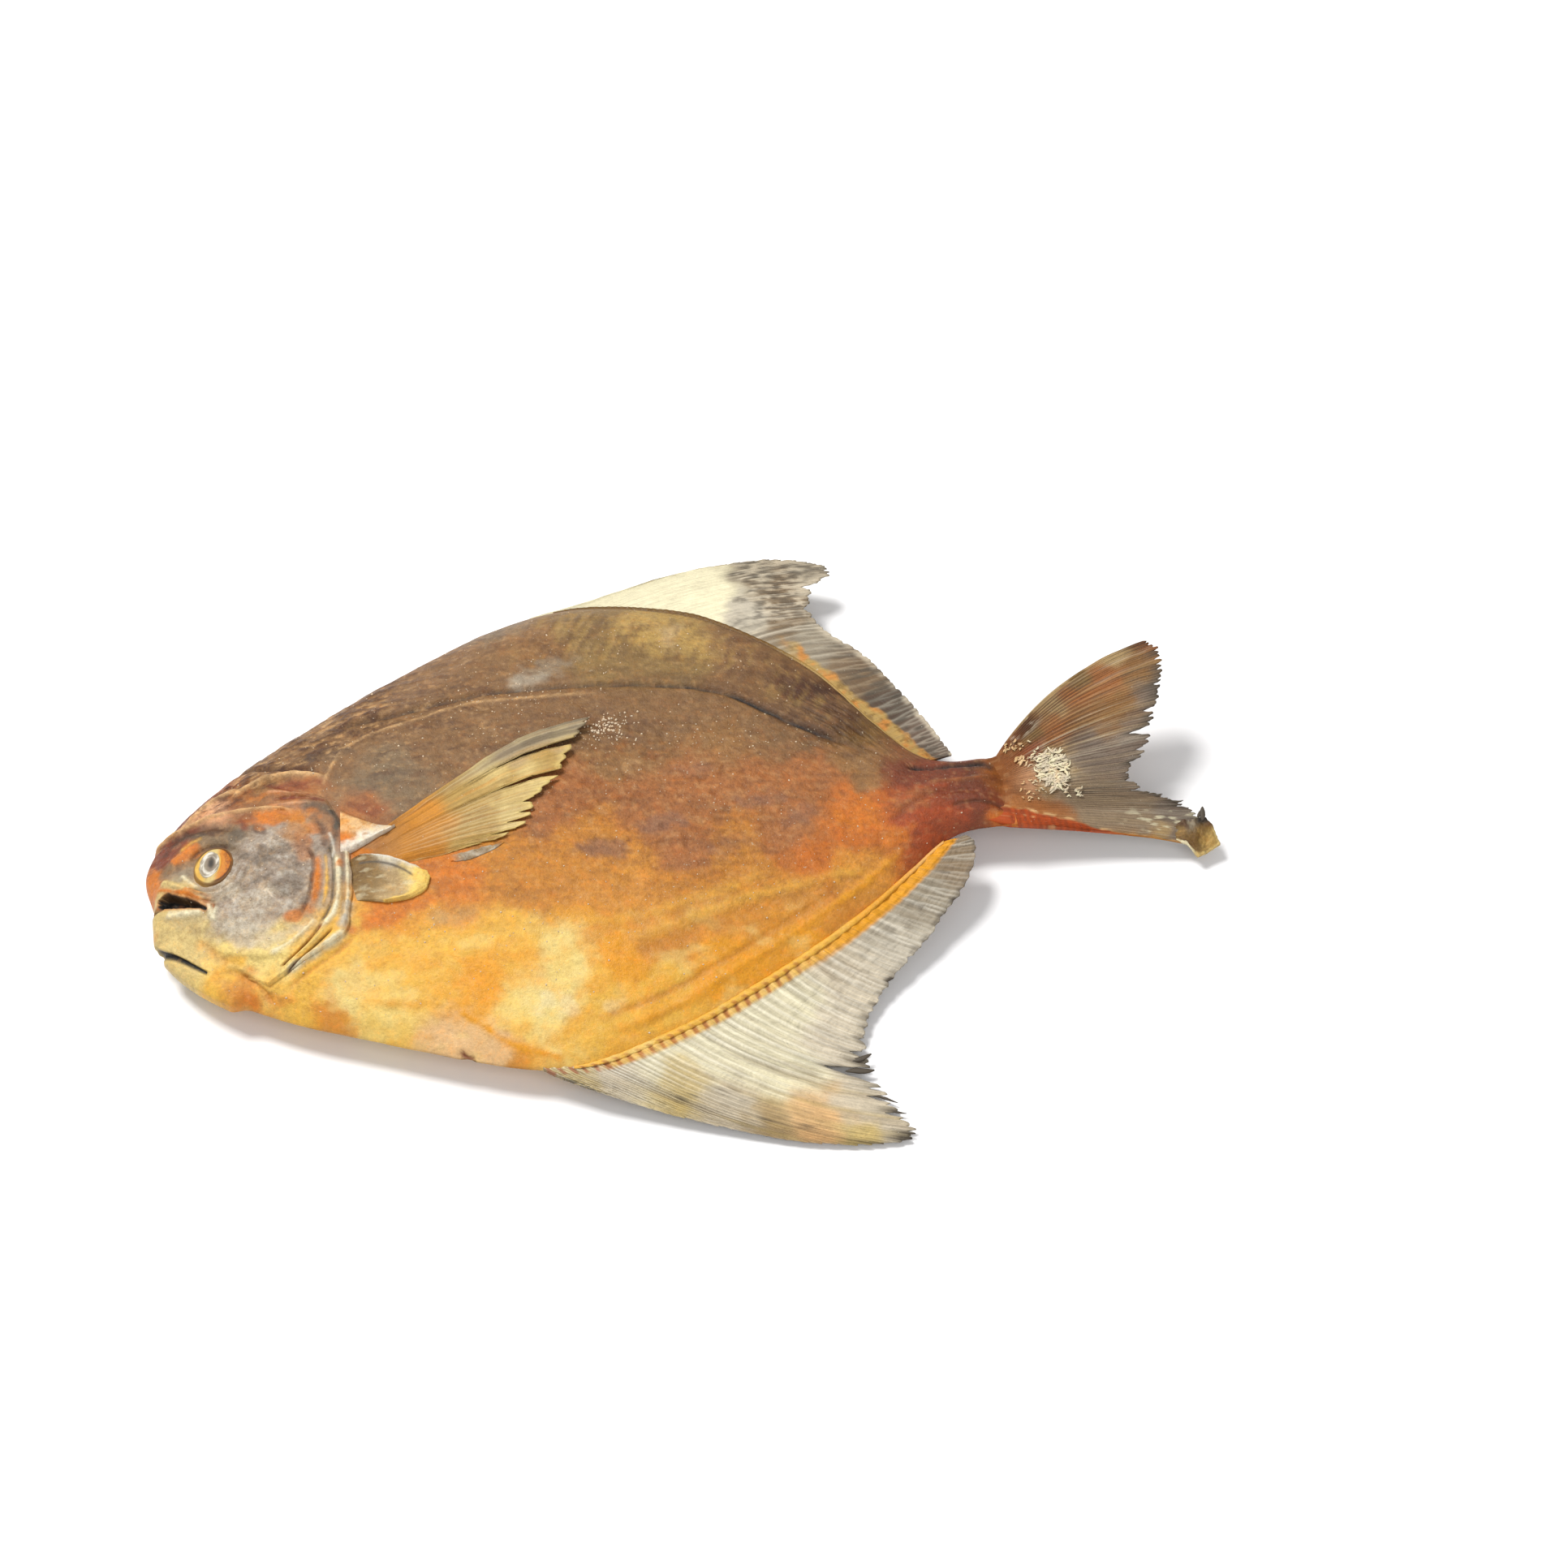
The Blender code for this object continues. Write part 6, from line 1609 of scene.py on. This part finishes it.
SALT_PATCHES = ((131, 29, 7, 4, 16), (158, 24, 12, 6, 3), (96, 34, 20, 12, 0.8), (90, -2, 14, 10, 0.5),
                (104, -34, 8, 4, 2.0), (150, 60, 20, 10, 0.5), (52, 28, 8, 8, 1.0), (134, -56, 8, 6, 0.5),
                (76, -32, 8, 4, 2.0), (156, -36, 12, 8, 0.7), (100, 44, 30, 3, 1.5))
SALT_GRAINS = 1100
GRAIN_SIZE = (0.06, 0.3)
GRAIN_CLUSTER = (131, 29, 9, 6)


def salt_grains(grid, finish):
    """Grains of salt dried on the upper skin, as one piece of small uneven lumps with 32 faces each.

    A lump is an eight-sided double pyramid, split once and pushed out to a ball, with each corner moved by
    chance and each axis stretched by its own share.
    """
    rng = np.random.default_rng(3)
    top = grid[:, 4:UPPER_COLUMNS - 4]
    x, y = top[..., 0], top[..., 1]
    run = np.linalg.norm(np.gradient(top, axis=0), axis=2)
    run = run * np.linalg.norm(np.gradient(top, axis=1), axis=2)
    thick = np.full(x.shape, 0.35) * step(y, -66, -40)
    for patch_x, patch_y, reach_x, reach_y, weight in SALT_PATCHES:
        thick += weight * round_spot(x, y, patch_x, patch_y, reach_x, reach_y)
    thick *= run * step(x, 6, 20) * step(236 - x, 0, 20)
    thick *= step(noise(x, y, 7, 120), -0.5, 0.5) + 0.15
    thick[-1], thick[:, -1] = 0, 0
    chosen = rng.choice(thick.size, SALT_GRAINS, replace=False, p=(thick / thick.sum()).ravel())
    i, j = np.unravel_index(chosen, thick.shape)
    a, b = rng.uniform(0, 1, (2, SALT_GRAINS, 1))
    places = ((top[i, j] * (1 - a) + top[i + 1, j] * a) * (1 - b)
              + (top[i, j + 1] * (1 - a) + top[i + 1, j + 1] * a) * b)
    corners = np.array([(1, 0, 0), (-1, 0, 0), (0, 1, 0), (0, -1, 0), (0, 0, 1), (0, 0, -1)], float)
    sides = np.array([(a, b, c) for a in (0, 1) for b in (2, 3) for c in (4, 5)])
    pairs = sorted({tuple(sorted((side[k], side[k - 1]))) for side in sides for k in range(3)})
    number = {pair: len(corners) + k for k, pair in enumerate(pairs)}
    ball = np.concatenate([corners, [corners[a] + corners[b] for a, b in pairs]])
    ball /= np.linalg.norm(ball, axis=1, keepdims=True)
    split = []
    for a, b, c in sides:
        ab, bc, ac = (number[tuple(sorted(pair))] for pair in ((a, b), (b, c), (a, c)))
        split += [(a, ab, ac), (ab, b, bc), (ac, bc, c), (ab, bc, ac)]
    split = np.array(split)
    normal = np.cross(ball[split[:, 1]] - ball[split[:, 0]], ball[split[:, 2]] - ball[split[:, 0]])
    inward = np.einsum("ij,ij->i", normal, ball[split].mean(1)) < 0
    split[inward] = split[inward][:, ::-1]
    size = rng.uniform(*GRAIN_SIZE, (SALT_GRAINS, 1, 1)) * rng.uniform(0.6, 1.2, (SALT_GRAINS, 1, 3))
    near = round_spot(places[:, 0], places[:, 1], *GRAIN_CLUSTER)
    size *= (1 + 0.9 * near)[:, None, None]
    lumps = ball[None] * size * rng.uniform(0.7, 1.2, (SALT_GRAINS, len(ball), 1))
    points = (places[:, None] + lumps).reshape(-1, 3)
    faces = (split[None] + len(ball) * np.arange(SALT_GRAINS)[:, None, None]).reshape(-1, 3)
    return piece("salt_grains", points, [faces], plain("salt", (len(points),)), NO_MARKS, finish)


# ---------------------------------------------------------------- floor, light and camera

CAMERA_PLACE = (117.730, -476.001, 640.120)
CAMERA_ALONG = (0.07523, 0.61105, -0.78801)
CAMERA_UP = (0.09630, 0.78210, 0.61566)
CAMERA_LENS = 65.22
SENSOR = 36.0
FLOOR_HALF = 3.0
FLOOR_COLOUR = (0.93, 0.93, 0.945, 1.0)
WORLD_COLOUR = (1.0, 0.99, 0.98, 1.0)
WORLD_STRENGTH = 0.42
# Lights: (name, place, aimed at, size, power, colour), in metres and watts
LIGHTS = (
    ("key", (-0.45, 0.45, 1.1), (0, 0, 0), 0.5, 17.5, (1.0, 0.99, 0.97)),
    ("fill", (0.3, -1.0, 1.0), (0, 0, 0), 1.2, 6.6, (1.0, 0.99, 0.97)),
)


def floor():
    """A plain pale floor."""
    finish = Finish("pale_floor")
    mesh = bpy.data.meshes.new("floor")
    corners = [(-1, -1), (1, -1), (1, 1), (-1, 1)]
    mesh.from_pydata([(FLOOR_HALF * x, FLOOR_HALF * y, 0) for x, y in corners], [], [(0, 1, 2, 3)])
    finish.shader.inputs["Base Color"].default_value = FLOOR_COLOUR
    finish.shader.inputs["Roughness"].default_value = 0.9
    finish.shader.inputs["Specular IOR Level"].default_value = 0.0
    mesh.materials.append(finish.material)
    made = bpy.data.objects.new("floor", mesh)
    bpy.context.scene.collection.objects.link(made)


def lights():
    """Soft studio light: a bright surround and large lamps."""
    world = bpy.data.worlds.new("studio")
    world.use_nodes = True
    background = world.node_tree.nodes["Background"]
    background.inputs["Color"].default_value = WORLD_COLOUR
    background.inputs["Strength"].default_value = WORLD_STRENGTH
    bpy.context.scene.world = world
    for name, place, target, size, power, colour in LIGHTS:
        lamp = bpy.data.lights.new(name, "AREA")
        lamp.shape = "DISK"
        lamp.size = size
        lamp.energy = power
        lamp.color = colour
        made = bpy.data.objects.new(name, lamp)
        made.location = place
        made.rotation_euler = (Vector(target) - Vector(place)).to_track_quat("-Z", "Y").to_euler()
        bpy.context.scene.collection.objects.link(made)


def camera():
    """The camera at the photograph's place: its axes are right, up and backwards."""
    along, up = Vector(CAMERA_ALONG), Vector(CAMERA_UP)
    right = along.cross(up)
    lens_data = bpy.data.cameras.new("camera")
    lens_data.lens = CAMERA_LENS
    lens_data.sensor_width = SENSOR
    lens_data.sensor_fit = "HORIZONTAL"
    made = bpy.data.objects.new("camera", lens_data)
    place = Matrix((right, up, -along)).transposed().to_4x4()
    place.translation = Vector((np.array(CAMERA_PLACE) - MIDDLE) * MM)
    made.matrix_world = place
    bpy.context.scene.collection.objects.link(made)
    bpy.context.scene.camera = made
    bpy.context.scene.view_settings.view_transform = "Standard"


def main():
    camera()
    lights()
    floor()
    skin_look, fin_look = skin_finish(), fin_finish()
    _, grid = body(skin_look)
    plate("gill_cover", GILL_START, GILL_EDGE, GILL_COVER_SHAPE, skin_look)
    side_fin(fin_look)
    plate("side_fin_fringe", FRINGE_FOOT, FRINGE_EDGE, FRINGE_SHAPE, skin_look, fringe_paint)
    plate("shoulder_bone", SHOULDER_BONE_TOP, SHOULDER_BONE, SHOULDER_BONE_SHAPE, skin_look, bone_paint)
    plate("ear_flap", EAR_FLAP_FOOT, EAR_FLAP_TIP, EAR_FLAP_SHAPE, skin_look, flap_paint)
    eye(eye_finish())
    belly_ribs = round((BELLY_ROPE_SPAN[1] - BELLY_ROPE_SPAN[0]) / BELLY_ROPE_PITCH)
    rope("belly_rope", BELLY, belly_ribs, BELLY_ROPE_SPAN, BELLY_ROPE_SHAPE, belly_rope_colour, "copper",
         skin_look)
    rope("back_rope", BACK, BACK_ROPE_RIBS, BACK_ROPE_SPAN, BACK_ROPE_SHAPE, back_rope_colour, "bark",
         skin_look)
    belly_fin(fin_look)
    back_fin(fin_look)
    tail_grid = tail_fin(fin_look)
    folded_tip(skin_look)
    torn_strips(tail_grid, skin_look)
    dark_points(fin_look)
    salt_grains(grid, salt_finish())


main()
